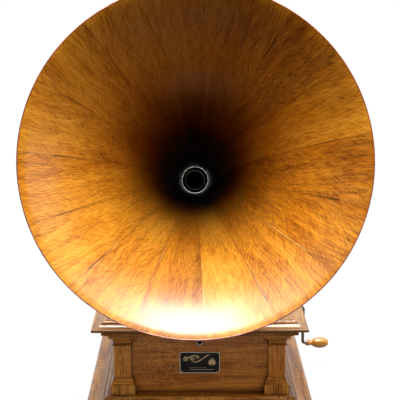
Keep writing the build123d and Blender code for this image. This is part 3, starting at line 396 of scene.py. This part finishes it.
def horn_seams(paint, colour, place, along):
    """(the horn's colour with the seams drawn on it, the cracks from 0 to 1).

    A seam is a thin line, faint in places. Past the end of a crack the line jogs aside.
    """
    seam = paint.attribute("seam_distance")
    half_width = paint.attribute("seam_width")
    crack_end = paint.attribute("crack_end")
    breaks = paint.noise(place, (16, 3, 9), 1.0)
    faintness = paint.step(breaks, 0.4, 0.6, 0.15, 0.6)
    hairline = paint.math("MULTIPLY", paint.step(seam, 0.0009, 0.0003), faintness)
    crack = paint.step(seam, half_width, paint.math("MULTIPLY", half_width, 0.5))
    beyond = paint.math("GREATER_THAN", along, crack_end)
    jog_end = paint.math("ADD", crack_end, 0.012)
    shifted = paint.math("MULTIPLY", paint.attribute("jog"), paint.step(along, crack_end, jog_end))
    off_line = paint.math("ABSOLUTE", paint.math("SUBTRACT", paint.attribute("upper_distance"), shifted))
    joint = paint.math("MULTIPLY", paint.step(off_line, 0.0016, 0.0005, 0.0, 0.5), beyond)
    colour = paint.mix(paint.step(seam, 0.007, 0.0, 0.0, 0.2), colour, (0.3, 0.09, 0.006))
    colour = paint.mix(paint.math("MAXIMUM", hairline, joint), colour, (0.13, 0.036, 0.003))
    colour = paint.mix(paint.math("MULTIPLY", crack, 0.9), colour, (0.035, 0.01, 0.002))
    worn_joint = paint.step(seam, 0.003, 0.0004, 0.0, 0.75)
    worn_joint = paint.math("MULTIPLY", worn_joint, paint.attribute("pale_joint"))
    uneven = paint.step(paint.noise(place, (22, 30, 9), 1.0), 0.45, 0.6)
    colour = paint.mix(paint.math("MULTIPLY", worn_joint, uneven), colour, (0.96, 0.6, 0.2))
    return colour, crack


def horn_paint():
    """Flame-figured golden oak under gloss varnish.

    The staves are darker high up and near the throat, which is painted shade. Their seams are thin lines,
    which open to cracks at the sides and have a pale worn edge low down.
    """
    paint = Paint("horn_oak")
    across, along = paint.split(paint.add("ShaderNodeUVMap", uv_map="grain").outputs[0])[:2]
    number = paint.attribute("stave_number")
    layer = paint.math("MULTIPLY", number, 0.413)
    place = paint.combine(along, across, layer)
    sway = paint.noise(place, (10, 16, 9), 1.0)
    lean = paint.math("MULTIPLY_ADD", sway, 0.03, across)
    swayed = paint.combine(along, lean, layer)
    bands = paint.noise(swayed, (4, 55, 9), 2.0, 0.6)
    fibres = paint.noise(swayed, (42, 520, 9), 3.0, 0.75)
    pores = paint.noise(swayed, (70, 1100, 9), 1.0)
    oblique = paint.math("MULTIPLY_ADD", across, 1.1, along)
    flame = paint.noise(paint.combine(oblique, across, number), (230, 62, 1), 2.0, 0.55, 0.9)
    ribbon = paint.step(paint.math("ABSOLUTE", paint.math("SUBTRACT", flame, 0.5)), 0.05, 0.0)
    patches = paint.step(paint.noise(place, (9, 12, 9), 1.0), 0.36, 0.62)
    flecks = paint.math("MULTIPLY", ribbon, patches)
    clouds = paint.noise(place, (6, 9, 9), 2.0)

    tone = paint.math("MULTIPLY_ADD", fibres, 0.56, paint.math("MULTIPLY", bands, 0.24))
    tone = paint.math("MULTIPLY_ADD", flame, 0.2, tone)
    tone = paint.math("MULTIPLY_ADD", paint.attribute("stave_shade"), 0.05, tone)
    tone = paint.math("MULTIPLY_ADD", clouds, 0.26, paint.math("SUBTRACT", tone, 0.13))
    colour = paint.ramp(
        tone,
        (0.35, (0.21, 0.052, 0.002)),
        (0.46, (0.5, 0.152, 0.004)),
        (0.55, (0.76, 0.28, 0.01)),
        (0.67, (0.92, 0.44, 0.045)),
    )
    colour = paint.mix(paint.math("MULTIPLY", flecks, 0.4), colour, (0.95, 0.54, 0.08))
    open_pores = paint.step(pores, 0.4, 0.28)
    colour = paint.mix(paint.math("MULTIPLY", open_pores, 0.4), colour, (0.09, 0.025, 0.002))
    # Painted shade: the wood darkens towards the throat, deep in the horn where little light reaches.
    throat_shade = paint.step(along, 0.49, 0.1, 0.0, 0.94)
    colour = paint.mix(throat_shade, colour, (0.06, 0.017, 0.002))
    # Painted shade: the upper staves darken, more towards the throat, as they face down and get little
    # light.
    upper_shade = paint.math("MULTIPLY", paint.attribute("upper_shade"), paint.math("MULTIPLY_ADD", clouds, 0.3, 0.85))
    colour = paint.mix(upper_shade, colour, (0.02, 0.005, 0.0005))
    colour, crack = horn_seams(paint, colour, place, along)

    height = paint.math("SUBTRACT", paint.math("MULTIPLY", tone, 0.6), open_pores)
    height = paint.math("MULTIPLY_ADD", crack, -2.5, height)
    paint.set(
        Base_Color=colour,
        Roughness=paint.math("MULTIPLY_ADD", clouds, 0.12, 0.3),
        Specular_IOR_Level=0.2,
        Coat_Weight=0.4,
        Coat_Roughness=0.24,
        Normal=paint.bump(height, 0.00014, 0.5),
    )
    return paint.material


# ---- The horn's staves -------------------------------------------------------------------------------


def horn_radius(along):
    """Inner radius of the horn at a distance along its axis from the throat."""
    return throat_radius * math.exp(flare * along)


def wall_point(along, depth):
    """(radius, distance along the axis) of a point a depth outside the inner surface."""
    slope = math.atan(flare * horn_radius(along))
    return horn_radius(along) + depth * math.cos(slope), along - depth * math.sin(slope)


def horn_point(radius, angle, along):
    """A point of the horn in the frame. Angles turn from +X towards the horn's upper side."""
    around = Vector((1, 0, 0)) * math.cos(angle) + horn_up * math.sin(angle)
    return throat + horn_axis * along + around * radius


def crack_of(number):
    """(start, end, half width at its end) of the dark opening of a seam, near the mouth."""
    draw = random.Random(f"seam {number}")
    return draw.uniform(0.455, 0.49), draw.uniform(0.525, 0.548), draw.uniform(0.0008, 0.002)


def seam_angle(number):
    """Angle of a seam round the horn's axis."""
    return first_seam + stave_angle * number


def crack_width(number, along):
    """Half width of a seam's opening, which widens to its end. Only the seams at the sides have one."""
    start, end, widest = crack_of(number % staves)
    at_side = abs(math.cos(seam_angle(number))) >= 0.45
    if not at_side or not start < along < end:
        return 0.0
    return crack_tip + (widest - crack_tip) * (along - start) / (end - start)


def pale_joint(number, along):
    """How pale the worn edge beside a seam is: only low down, and most at the middle of its length."""
    low_down = math.sin(seam_angle(number)) <= -0.5
    share = (along - pale_start) / pale_length
    if not low_down or not 0 < share < 1:
        return 0.0
    return math.sin(math.pi * share)


def upper_shade_of(angle, radius):
    """How much painted shade darkens the staves: most in the upper half, and more towards the throat."""
    upper = max(0.0, 0.2 + 0.8 * math.sin(angle)) ** 1.5
    depth = 1 - radius / mouth_radius
    return upper * (0.46 + 0.75 * min(0.6, depth))


def inner_point(along):
    """(radius, distance along the axis) of the inner surface, which rolls outwards at the mouth."""
    if along <= wood_length:
        return horn_radius(along), along
    share = (along - wood_length) / lip_length
    return mouth_radius + inner_lip[0] * share, wood_length + inner_lip[1] * share


def shell_faces(rows, columns):
    """Faces of a closed shell from two grids of rows by columns faces, the inner grid first."""
    width = columns + 1
    sheet = width * (rows + 1)
    faces = []
    for row in range(rows):
        for column in range(columns):
            corner = row * width + column
            quad = [corner, corner + 1, corner + width + 1, corner + width]
            faces.append(list(reversed(quad)))
            faces.append([sheet + index for index in quad])
        for column, flip in ((0, False), (columns, True)):
            corner = row * width + column
            quad = [corner, corner + width, sheet + corner + width, sheet + corner]
            faces.append(list(reversed(quad)) if flip else quad)
    for row, flip in ((0, True), (rows, False)):
        for column in range(columns):
            corner = row * width + column
            quad = [corner, corner + 1, sheet + corner + 1, sheet + corner]
            faces.append(list(reversed(quad)) if flip else quad)
    return faces


def make_stave(number, material):
    """One tapered stave, closed all round, with its grain laid along it.

    Its points carry the facts that horn_paint reads: which stave it is, how far the point is from
    the nearest seam and from the upper one, how wide a crack is there, and how dark the painted shade is.
    """
    columns = 12
    rows = 90
    left = seam_angle(number)
    draw = random.Random(f"stave {number}")
    shade = draw.uniform(-1, 1)
    lean = draw.uniform(-0.12, 0.12)
    jog = draw.uniform(0.012, 0.034)
    upper_seam = number + 1 if math.sin(left + stave_angle) > math.sin(left) else number
    crack_end = crack_of(upper_seam % staves)[1]
    vertices = []
    grain = []
    facts = []
    for inside in (True, False):
        for row in range(rows + 2):
            on_lip = row > rows
            along = wood_length * (min(row, rows) / rows) ** 0.8
            if inside:
                along += lip_length if on_lip else 0.0
                radius, height = inner_point(along)
            else:
                radius, height = wall_point(along, horn_wall)
                if on_lip:
                    radius, height = radius + outer_lip[0], height + outer_lip[1]
            width = stave_angle * radius
            for column in range(columns + 1):
                share = column / columns
                vertices.append(horn_point(radius, left + stave_angle * share, height))
                grain.append(((share - 0.5) * width + lean * along, along))
                from_upper = 1 - share if upper_seam == number + 1 else share
                facts.append(
                    {
                        "stave_number": float(number),
                        "stave_shade": shade,
                        "seam_distance": (0.5 - abs(share - 0.5)) * width,
                        "seam_width": crack_width(number if share < 0.5 else number + 1, along),
                        "upper_distance": from_upper * width,
                        "crack_end": crack_end,
                        "pale_joint": pale_joint(number, along) if share < 0.5 else 0.0,
                        "jog": jog,
                        "upper_shade": upper_shade_of(left + stave_angle * share, radius),
                    }
                )
    mesh = new_mesh(f"stave_{number + 1:02}", vertices, shell_faces(rows + 1, columns))
    layer = mesh.uv_layers.new(name="grain")
    for loop in mesh.loops:
        layer.data[loop.index].uv = grain[loop.vertex_index]
    for name in facts[0]:
        attribute = mesh.attributes.new(name, "FLOAT", "POINT")
        attribute.data.foreach_set("value", [fact[name] for fact in facts])
    return finished_piece(mesh, material, "horn")


# ---- Pieces and lathed rings -------------------------------------------------------------------------


def new_mesh(name, vertices, faces):
    """A checked mesh from points and faces."""
    mesh = bpy.data.meshes.new(name)
    mesh.from_pydata(vertices, [], faces)
    mesh.validate()
    return mesh


def finished_piece(mesh, material, body):
    """An object from a mesh, smooth apart from its sharp edges, that rides on a body."""
    for face in mesh.polygons:
        face.use_smooth = True
    mesh.set_sharp_from_angle(angle=math.radians(40))
    mesh.materials.append(material)
    piece = bpy.data.objects.new(mesh.name, mesh)
    bpy.context.scene.collection.objects.link(piece)
    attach(piece, body)
    return piece


def lathe(name, outline, material, steps=160):
    """A ring turned about the horn's axis from a closed outline of (radius, distance along) points."""
    vertices = []
    faces = []
    count = len(outline)
    for step in range(steps):
        angle = 2 * math.pi * step / steps
        vertices += [horn_point(radius, angle, along) for radius, along in outline]
        following = (step + 1) % steps
        for index in range(count):
            near = step * count
            far = following * count
            nearby = (index + 1) % count
            faces.append([near + index, near + nearby, far + nearby, far + index])
    return finished_piece(new_mesh(name, vertices, faces), material, "horn")


def arc(middle, radius, first, last, steps):
    """Points of an arc from one angle to another, in degrees."""
    turns = [math.radians(first + (last - first) * step / steps) for step in range(steps + 1)]
    return [(middle[0] + radius * math.cos(turn), middle[1] + radius * math.sin(turn)) for turn in turns]


def bead(middle, radius, steps):
    """A round outline, which closes from 345 degrees back to its start."""
    return arc(middle, radius, 0, 345, steps)


def make_rim(material):
    """The narrow moulded band round the mouth, whose inner side the staves cover."""
    lip_gap = 0.0001
    roll_radius = 0.0019
    roll_middle = (0.0006, -0.0011)  # outwards and forwards from the edge of the staves' lip
    # The hidden back, outwards and forwards from the ends of the staves.
    back = ((0.0065, -0.0051), (0.0051, -0.0064), (0.0032, -0.0048), (0.006, -0.0007))
    tip = inner_point(wood_length + lip_length)
    outline = [(tip[0] + lip_gap, tip[1])]
    outline += arc((tip[0] + roll_middle[0], tip[1] + roll_middle[1]), roll_radius, 80, -60, 10)
    outline += [(mouth_radius + outwards, wood_length + forwards) for outwards, forwards in back]
    piece = lathe("rim_band", outline, material, 240)
    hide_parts("horn_rim")


def make_sleeve(material):
    """The plated sleeve on the horn's neck, one closed outline from its bore out to its rolled end."""
    rows = 8
    sleeve_gap = 0.0003  # from the wood to the sleeve's inner side
    sleeve_skin = 0.0014  # from the wood to its outer side
    end_bead = 0.0011
    flange_front = 0.0018
    flange_back = -0.001
    seat_inset = 0.0018  # from the flange's rim in to the step that the wood sits in
    collar_front, collar_back = -0.0035, -0.007  # the slope down to the straight neck
    places = [sleeve_length * row / rows for row in range(rows + 1)]
    inner = [wall_point(along, horn_wall + sleeve_gap) for along in places]
    outer = [wall_point(along, horn_wall + sleeve_skin) for along in places]
    bore = throat_bore + bore_wall
    seat = throat_flange - seat_inset
    outline = [(bore, -elbow_straight), (bore, flange_front), (seat, flange_front), (seat, flange_back)]
    outline += inner
    outline += arc((outer[-1][0] - 0.0001, outer[-1][1] + 0.0002), end_bead, -40, 150, 8)
    outline += [*reversed(outer), (outer[0][0], collar_front)]
    outline += [(neck_radius, collar_back), (neck_radius, -elbow_straight)]
    shell = lathe("horn_sleeve", outline, material)
    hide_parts("horn_ferrule")


def make_throat(finishes):
    """The sleeve, and the ring in the horn's throat, near-black as painted shade, with its two beads, the
    outer brighter and the inner darker than nickel as painted highlight and shade.

    Returns a collection of the beads, for the lamp that shines on them alone.
    """
    make_sleeve(finishes["nickel"])
    inner, outer = throat_bore + 0.0007, throat_flange - 0.0012
    back, front = 0.0019, 0.0026
    plate = [(inner, back), (inner, front), (outer, front), (outer, back)]
    # Painted shade: the plate between the beads is near-black, where the deep throat lies in shade.
    lathe("throat_plate", plate, finishes["soot"])
    # Painted highlight and shade: the outer bead is a brighter copy of the nickel and the inner one a darker
    # copy; the throat_glint lamp lights both as well.
    throat_bead = bead((throat_flange - 0.001, 0.0029), 0.0009, 23)
    bore_bead = bead((throat_bore + bore_wall, 0.0028), 0.0006, 15)
    throat_metal = bpy.data.collections.new("throat_metal")
    throat_metal.objects.link(lathe("throat_bead", throat_bead, finishes["bright_ring"]))
    throat_metal.objects.link(lathe("bore_bead", bore_bead, finishes["dark_nickel"]))
    return throat_metal


# ---- Finishes of the CAD nodes -----------------------------------------------------------------------

# The dark, middle and pale fibres of each kind of oak, and its flecks.
cabinet_tones = ((0.24, 0.066, 0.004), (0.47, 0.155, 0.011), (0.66, 0.26, 0.026), (0.78, 0.38, 0.06))
panel_tones = ((0.16, 0.042, 0.003), (0.34, 0.102, 0.007), (0.5, 0.18, 0.017), (0.62, 0.27, 0.04))
base_tones = ((0.09, 0.024, 0.002), (0.36, 0.12, 0.01), (0.66, 0.29, 0.04), (0.82, 0.46, 0.11))
# A darker copy of the oak, painted shade: the capitals lie in the shadow under the lid.
shaded_capital_tones = ((0.14, 0.04, 0.003), (0.32, 0.1, 0.008), (0.5, 0.19, 0.02), (0.62, 0.3, 0.05))
# A darker copy of the oak, painted shade: the cornice lies in the shadow band under the lid.
shaded_cornice_tones = ((0.07, 0.019, 0.002), (0.2, 0.062, 0.005), (0.36, 0.13, 0.014), (0.5, 0.22, 0.035))
lid_tones = ((0.2, 0.066, 0.006), (0.5, 0.19, 0.024), (0.72, 0.34, 0.06), (0.84, 0.48, 0.12))
band_tones = ((0.14, 0.026, 0.006), (0.34, 0.07, 0.014), (0.5, 0.13, 0.035), (0.58, 0.2, 0.07))
handle_tones = ((0.5, 0.19, 0.022), (0.78, 0.34, 0.045), (0.9, 0.48, 0.09), (0.93, 0.58, 0.18))

# Which way the grain of each oak node runs, its tones, and the nodes whose varnish is worn dull.
oak_finishes = {
    "bottom_board": ("x", panel_tones),
    "front_panel": ("x", panel_tones),
    "back_panel": ("x", panel_tones),
    "left_panel": ("y", panel_tones),
    "right_panel": ("y", panel_tones),
    "base_moulding": ("mitred", base_tones),
    "corner_posts": ("z", cabinet_tones),
    "post_plinths": ("z", base_tones),
    "post_bases": ("mitred", cabinet_tones),
    "post_capitals": ("mitred", shaded_capital_tones),
    "cornice_moulding": ("mitred", shaded_cornice_tones),
    "lid_frame": ("mitred", lid_tones),
    "motor_board": ("x", cabinet_tones),
    "crank_handle": ("x", handle_tones),
}
dull_oak = ("base_moulding", "cornice_moulding", "post_capitals")
replaced_nodes = ("horn_staves", "horn_rim", "horn_ferrule")


def slot_materials():
    """A finish for each material slot that isn't wood, and four for the fine trims made here."""
    return {
        "nickel": metal_paint("nickel", (0.6, 0.585, 0.55), 0.2, smudge=0.08, dulling=0.93),
        # A brighter copy of the nickel: painted highlight on the throat's outer bead.
        "bright_ring": metal_paint("bright_ring", (0.85, 0.86, 0.84), 0.14),
        # On the throat's inner bead, this darker nickel is painted shade.
        "dark_nickel": metal_paint("dark_nickel", (0.24, 0.22, 0.18), 0.36, smudge=0.2),
        "steel": metal_paint("steel", (0.5, 0.5, 0.51), 0.32, smudge=0.15),
        "brass": metal_paint("brass", (0.72, 0.53, 0.24), 0.24),
        "cast_iron": metal_paint(
            "cast_iron",
            (0.1, 0.1, 0.11),
            0.62,
            smudge=0.2,
            grit=0.8,
            edge=0.0006,
            edge_gain=1.8,
            scale=420.0,
        ),
        "spring_steel": metal_paint("spring_steel", (0.3, 0.32, 0.38), 0.3, smudge=0.15),
        "black_plate": coated_paint("black_plate", (0.012, 0.012, 0.013), 0.35, 900.0, 0.00003, coat=0.4),
        # Near-black: painted shade on the plate in the horn's throat.
        "soot": coated_paint("soot", (0.006, 0.005, 0.005), 0.85, 900.0, 0.0001),
        "pale_edge": coated_paint("pale_edge", (0.62, 0.58, 0.48), 0.4, 900.0, 0.00003),
        "gilt": coated_paint("gilt", (0.66, 0.45, 0.22), 0.4, 900.0, 0.00003),
        "felt": coated_paint("felt", (0.022, 0.062, 0.03), 0.95, 1400.0, 0.0006, sheen=0.2, spread=0.5),
        "leather": coated_paint("leather", (0.22, 0.11, 0.055), 0.7, 900.0, 0.0003),
        "rubber": coated_paint("rubber", (0.04, 0.04, 0.04), 0.8, 500.0, 0.00015),
        "mica": mica_paint(),
    }


def paint_nodes(finishes):
    """Every CAD node gets the finish of its kind, apart from those that new pieces replace."""
    for part in frame["record"]["subparts"]:
        node = part["node"]
        if node in replaced_nodes:
            continue
        if node in oak_finishes:
            grain, tones = oak_finishes[node]
            coat = dull_coat if node in dull_oak else oak_coat
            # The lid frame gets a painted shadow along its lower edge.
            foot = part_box(node)[0].z if node == "lid_frame" else None
            material = oak_paint(f"oak_{node}", grain, tones, coat, foot)
        else:
            material = finishes[part["material_slot"]]
        piece = frame["nodes"][node]
        if not piece.material_slots:
            piece.data.materials.append(material)
        for slot in piece.material_slots:
            slot.material = material


# ---- Nameplate ornament ------------------------------------------------------------------------------


def ribbon_mesh(name, strokes, front, depth):
    """Flat ribbons from depth before the plane y = front to depth behind it.

    A stroke is a list of (x, z, half width) points.
    """
    vertices = []
    faces = []
    for stroke in strokes:
        start = len(vertices)
        for index, (x, z, half) in enumerate(stroke):
            before = stroke[max(index - 1, 0)]
            after = stroke[min(index + 1, len(stroke) - 1)]
            run = Vector((after[0] - before[0], 0, after[1] - before[1])).normalized()
            side = Vector((-run.z, 0, run.x)) * half
            for y in (front - depth, front + depth):
                vertices += [Vector((x, y, z)) + side, Vector((x, y, z)) - side]
        last = len(stroke) - 1
        for index in range(last):
            a = start + index * 4
            b = a + 4
            faces += [[a, a + 1, b + 1, b], [a + 2, b + 2, b + 3, a + 3]]
            faces += [[a, b, b + 2, a + 2], [a + 1, a + 3, b + 3, b + 1]]
        end = start + last * 4
        faces += [[start, start + 2, start + 3, start + 1], [end, end + 1, end + 3, end + 2]]
    return new_mesh(name, vertices, faces)


def scroll(x, z, radius, turns, first, widest, way, steps=40):
    """A spiral that opens from its eye, starting at an angle in degrees, and swells on its way."""
    points = []
    for step in range(steps + 1):
        share = step / steps
        turn = math.radians(first) + way * 2 * math.pi * turns * share
        reach = radius * (0.08 + 0.92 * share**1.3)
        half = widest * (0.35 + 0.65 * math.sin(math.pi * min(1.0, share * 1.1)) ** 0.7)
        points.append((x + reach * math.cos(turn), z + reach * math.sin(turn), half))
    return points


def bow(start, end, rise, widest, steps=16):
    """A leaf-shaped stroke that bows between two points."""
    points = []
    for step in range(steps + 1):
        share = step / steps
        x = start[0] + (end[0] - start[0]) * share
        z = start[1] + (end[1] - start[1]) * share + rise * math.sin(math.pi * share)
        points.append((x, z, 0.00012 + widest * math.sin(math.pi * share)))
    return points


def nameplate_border(at):
    """Four straight strokes just inside the plate's edge."""
    half_width = 0.0006
    corners = [at(-0.99, -0.98), at(0.99, -0.98), at(0.99, 0.98), at(-0.99, 0.98)]
    strokes = []
    for index in range(4):
        x0, z0 = corners[index]
        x1, z1 = corners[(index + 1) % 4]
        strokes.append([(x0, z0, half_width), (x1, z1, half_width)])
    return strokes


def nameplate_scrolls(at):
    """Three scrolls and three leaves, a fan of leaves, a row of dashes and a thin line over it."""
    strokes = []
    for x, z, radius, turns, first, way in (
        (-0.7, 0.42, 0.0062, 1.4, 200, 1),
        (-0.38, 0.3, 0.0052, 1.3, 20, -1),
        (-0.1, 0.5, 0.0042, 1.2, 160, 1),
    ):
        strokes.append(scroll(*at(x, z), radius, turns, first, 0.0009, way))
    strokes.append(bow(at(-0.86, 0.1), at(-0.1, 0.72), 0.003, 0.0011))
    strokes.append(bow(at(-0.35, 0.0), at(0.34, 0.72), -0.0035, 0.001))
    strokes.append(bow(at(0.1, 0.3), at(0.52, 0.8), 0.001, 0.0008))
    fan_foot = at(0.62, -0.35)
    fan_leaves = 7
    for leaf in range(fan_leaves):
        turn = math.radians(150 - 20 * leaf)
        reach = 0.0185 - 0.0009 * abs(leaf - fan_leaves // 2)
        tip = (fan_foot[0] + reach * math.cos(turn) * 0.62, fan_foot[1] + reach * math.sin(turn))
        strokes.append(bow(fan_foot, tip, 0.0006, 0.0011))
    for dash in range(13):
        x, z = at(-0.46 + 0.096 * dash, -0.68)
        strokes.append([(x - 0.0013, z, 0.0006), (x + 0.0009, z, 0.0006)])
    strokes.append([(*at(-0.56, -0.5), 0.0002), (*at(0.36, -0.5), 0.0002)])
    return strokes


def make_nameplate_ornament(finishes):
    """The nameplate's thin border and its scrolls. It has no lettering."""
    relief = 0.00018
    low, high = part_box("nameplate")
    middle_x = (low.x + high.x) / 2
    middle_z = (low.z + high.z) / 2
    half_x = (high.x - low.x) / 2
    half_z = (high.z - low.z) / 2

    def at(x, z):
        """A point of the plate, whose edges are at -1 and 1."""
        return middle_x + x * half_x, middle_z + z * half_z

    for name, strokes, finish in (
        ("nameplate_border", nameplate_border(at), finishes["pale_edge"]),
        ("nameplate_scrolls", nameplate_scrolls(at), finishes["gilt"]),
    ):
        mesh = ribbon_mesh(name, strokes, low.y, relief)
        finished_piece(mesh, finish, "cabinet")


def make_escutcheon_edge(finish):
    """A worn bright edge round the lock's oval escutcheon."""
    steps = 48
    inset = 0.0007
    half_width = 0.0006
    low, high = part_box("lock_escutcheon")
    middle = (low + high) / 2
    reach_x = (high.x - low.x) / 2 - inset
    reach_z = (high.z - low.z) / 2 - inset
    edge = []
    for step in range(steps + 1):
        turn = 2 * math.pi * step / steps
        x = middle.x + reach_x * math.cos(turn)
        z = middle.z + reach_z * math.sin(turn)
        edge.append((x, z, half_width))
    mesh = ribbon_mesh("escutcheon_edge", [edge], low.y + 0.0002, 0.0003)
    finished_piece(mesh, finish, "cabinet")


# ---- Surroundings ------------------------------------------------------------------------------------


def kinds_of_ray(nodes):
    """(1 for rays from the camera or through glass, 1 for rays that a glossy surface reflects)."""
    path = nodes.add("ShaderNodeLightPath").outputs
    seen = nodes.math("MAXIMUM", path["Is Camera Ray"], path["Is Transmission Ray"])
    return seen, path["Is Glossy Ray"]


def make_floor():
    """A wide white table that keeps the shadow, and is dark in front where gloss reflects it."""
    level = cad_box[0].z
    size = 6.0
    corners = [(-size, -size, level), (size, -size, level), (size, size, level), (-size, size, level)]
    mesh = bpy.data.meshes.new("studio_floor")
    mesh.from_pydata(corners, [], [(0, 1, 2, 3)])
    floor = bpy.data.objects.new("studio_floor", mesh)
    bpy.context.scene.collection.objects.link(floor)
    paint = Paint("studio_floor")
    paint.tree.nodes.remove(paint.shader)
    seen, glossy = kinds_of_ray(paint)
    y = paint.split(paint.place())[1]
    reflected = paint.step(y, -0.35, 0.1, 0.01, 1.0)
    diffuse = paint.add("ShaderNodeBsdfDiffuse", {"Color": (0.08, 0.078, 0.075, 1)}).outputs[0]
    distance = paint.add("ShaderNodeVectorMath", {0: paint.place()}, operation="LENGTH").outputs["Value"]
    whiteness = paint.step(distance, 0.7, 1.8, 0.93, 1.0)
    glow = paint.add("ShaderNodeEmission", {"Color": white, "Strength": whiteness}).outputs[0]
    mirror = paint.add("ShaderNodeEmission", {"Color": white, "Strength": reflected}).outputs[0]
    direct = paint.add("ShaderNodeAddShader", {0: glow, 1: diffuse}).outputs[0]
    surface = paint.add("ShaderNodeMixShader", {0: seen, 1: diffuse, 2: direct}).outputs[0]
    surface = paint.add("ShaderNodeMixShader", {0: glossy, 1: surface, 2: mirror}).outputs[0]
    paint.put(paint.output.inputs["Surface"], surface)
    mesh.materials.append(paint.material)


def make_world():
    """White behind the object and dim on the camera's side, as in a studio with a white sweep."""
    world = bpy.data.worlds.new("studio")
    bpy.context.scene.world = world
    nodes = Nodes(world)
    seen, glossy = kinds_of_ray(nodes)
    y = nodes.split(nodes.add("ShaderNodeTexCoord").outputs["Generated"])[1]
    reflected = nodes.step(y, -0.25, 0.35, 0.02, 1.0)
    ambient = nodes.step(y, -0.6, 0.6, 0.025, 0.4)
    strength = nodes.add("ShaderNodeMix", {0: glossy, 2: ambient, 3: reflected}).outputs[0]
    strength = nodes.add("ShaderNodeMix", {0: seen, 2: strength, 3: 1.0}).outputs[0]
    light = nodes.add("ShaderNodeBackground", {"Color": white, "Strength": strength}).outputs[0]
    output = nodes.add("ShaderNodeOutputWorld")
    nodes.put(output.inputs["Surface"], light)


def make_lamp(name, place, target, size, power, colour=warm_white, glossy=True, diffuse=True):
    """A rectangular soft light that points at a target, with or without its gloss and diffuse light."""
    data = bpy.data.lights.new(name, "AREA")
    data.shape = "RECTANGLE"
    data.size, data.size_y = size
    data.energy = power
    data.color = colour
    lamp = bpy.data.objects.new(name, data)
    lamp.location = place
    lamp.visible_camera = False
    lamp.visible_glossy = glossy
    lamp.visible_diffuse = diffuse
    lamp.rotation_euler = (Vector(target) - Vector(place)).to_track_quat("-Z", "Y").to_euler()
    bpy.context.scene.collection.objects.link(lamp)
    return lamp


def make_camera():
    """The camera at the named place, turned down and to the right by the named angles."""
    data = bpy.data.cameras.new("camera")
    data.lens = camera_lens
    data.sensor_width = camera_sensor
    camera = bpy.data.objects.new("camera", data)
    camera.location = camera_place
    level = math.radians(90)
    camera.rotation_euler = (level - camera_pitch, 0, -camera_yaw)
    bpy.context.scene.collection.objects.link(camera)
    bpy.context.scene.camera = camera


# ---- The scene -----------------------------------------------------------------------------------------

bpy.context.scene.view_settings.view_transform = "Standard"
make_camera()
make_floor()
make_world()
make_lamp("overhead_softbox", (0.0, -0.4, 1.85), (0.0, -0.4, 0.0), (1.5, 1.0), 61.0, glossy=False)
# Two lamps that only show as gloss on the varnish.
for name, x, y, z, size, power in (
    ("overhead_gloss", 0.03, -0.16, 1.8, (0.7, 1.05), 92.0),
    ("overhead_haze", 0.0, -0.3, 1.75, (2.2, 1.0), 30.0),
):
    make_lamp(name, (x, y, z), (x, y, 0.0), size, power, white[:3], diffuse=False)
make_lamp("side_softbox", (1.75, -0.55, 1.15), (0.0, -0.2, 0.4), (0.9, 1.1), 9.0)
make_lamp("table_bounce", (0.0, -0.6, 0.03), (0.0, -0.16, 0.12), (0.7, 0.25), 1.7, glossy=False)

finishes = slot_materials()
paint_nodes(finishes)
horn_oak = horn_paint()
stave_pieces = [make_stave(number, horn_oak) for number in range(staves)]
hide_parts("horn_staves")
make_rim(oak_paint("oak_rim", "mitred", band_tones))
throat_metal = make_throat(finishes)
# One lamp for the bright beads in the throat, which leaves the varnish round them alone.
glint = make_lamp("throat_glint", (-0.1, -2.6, 1.4), throat, (1.0, 1.0), 16.0, diffuse=False)
glint.light_linking.receiver_collection = throat_metal
make_nameplate_ornament(finishes)
make_escutcheon_edge(finishes["pale_edge"])
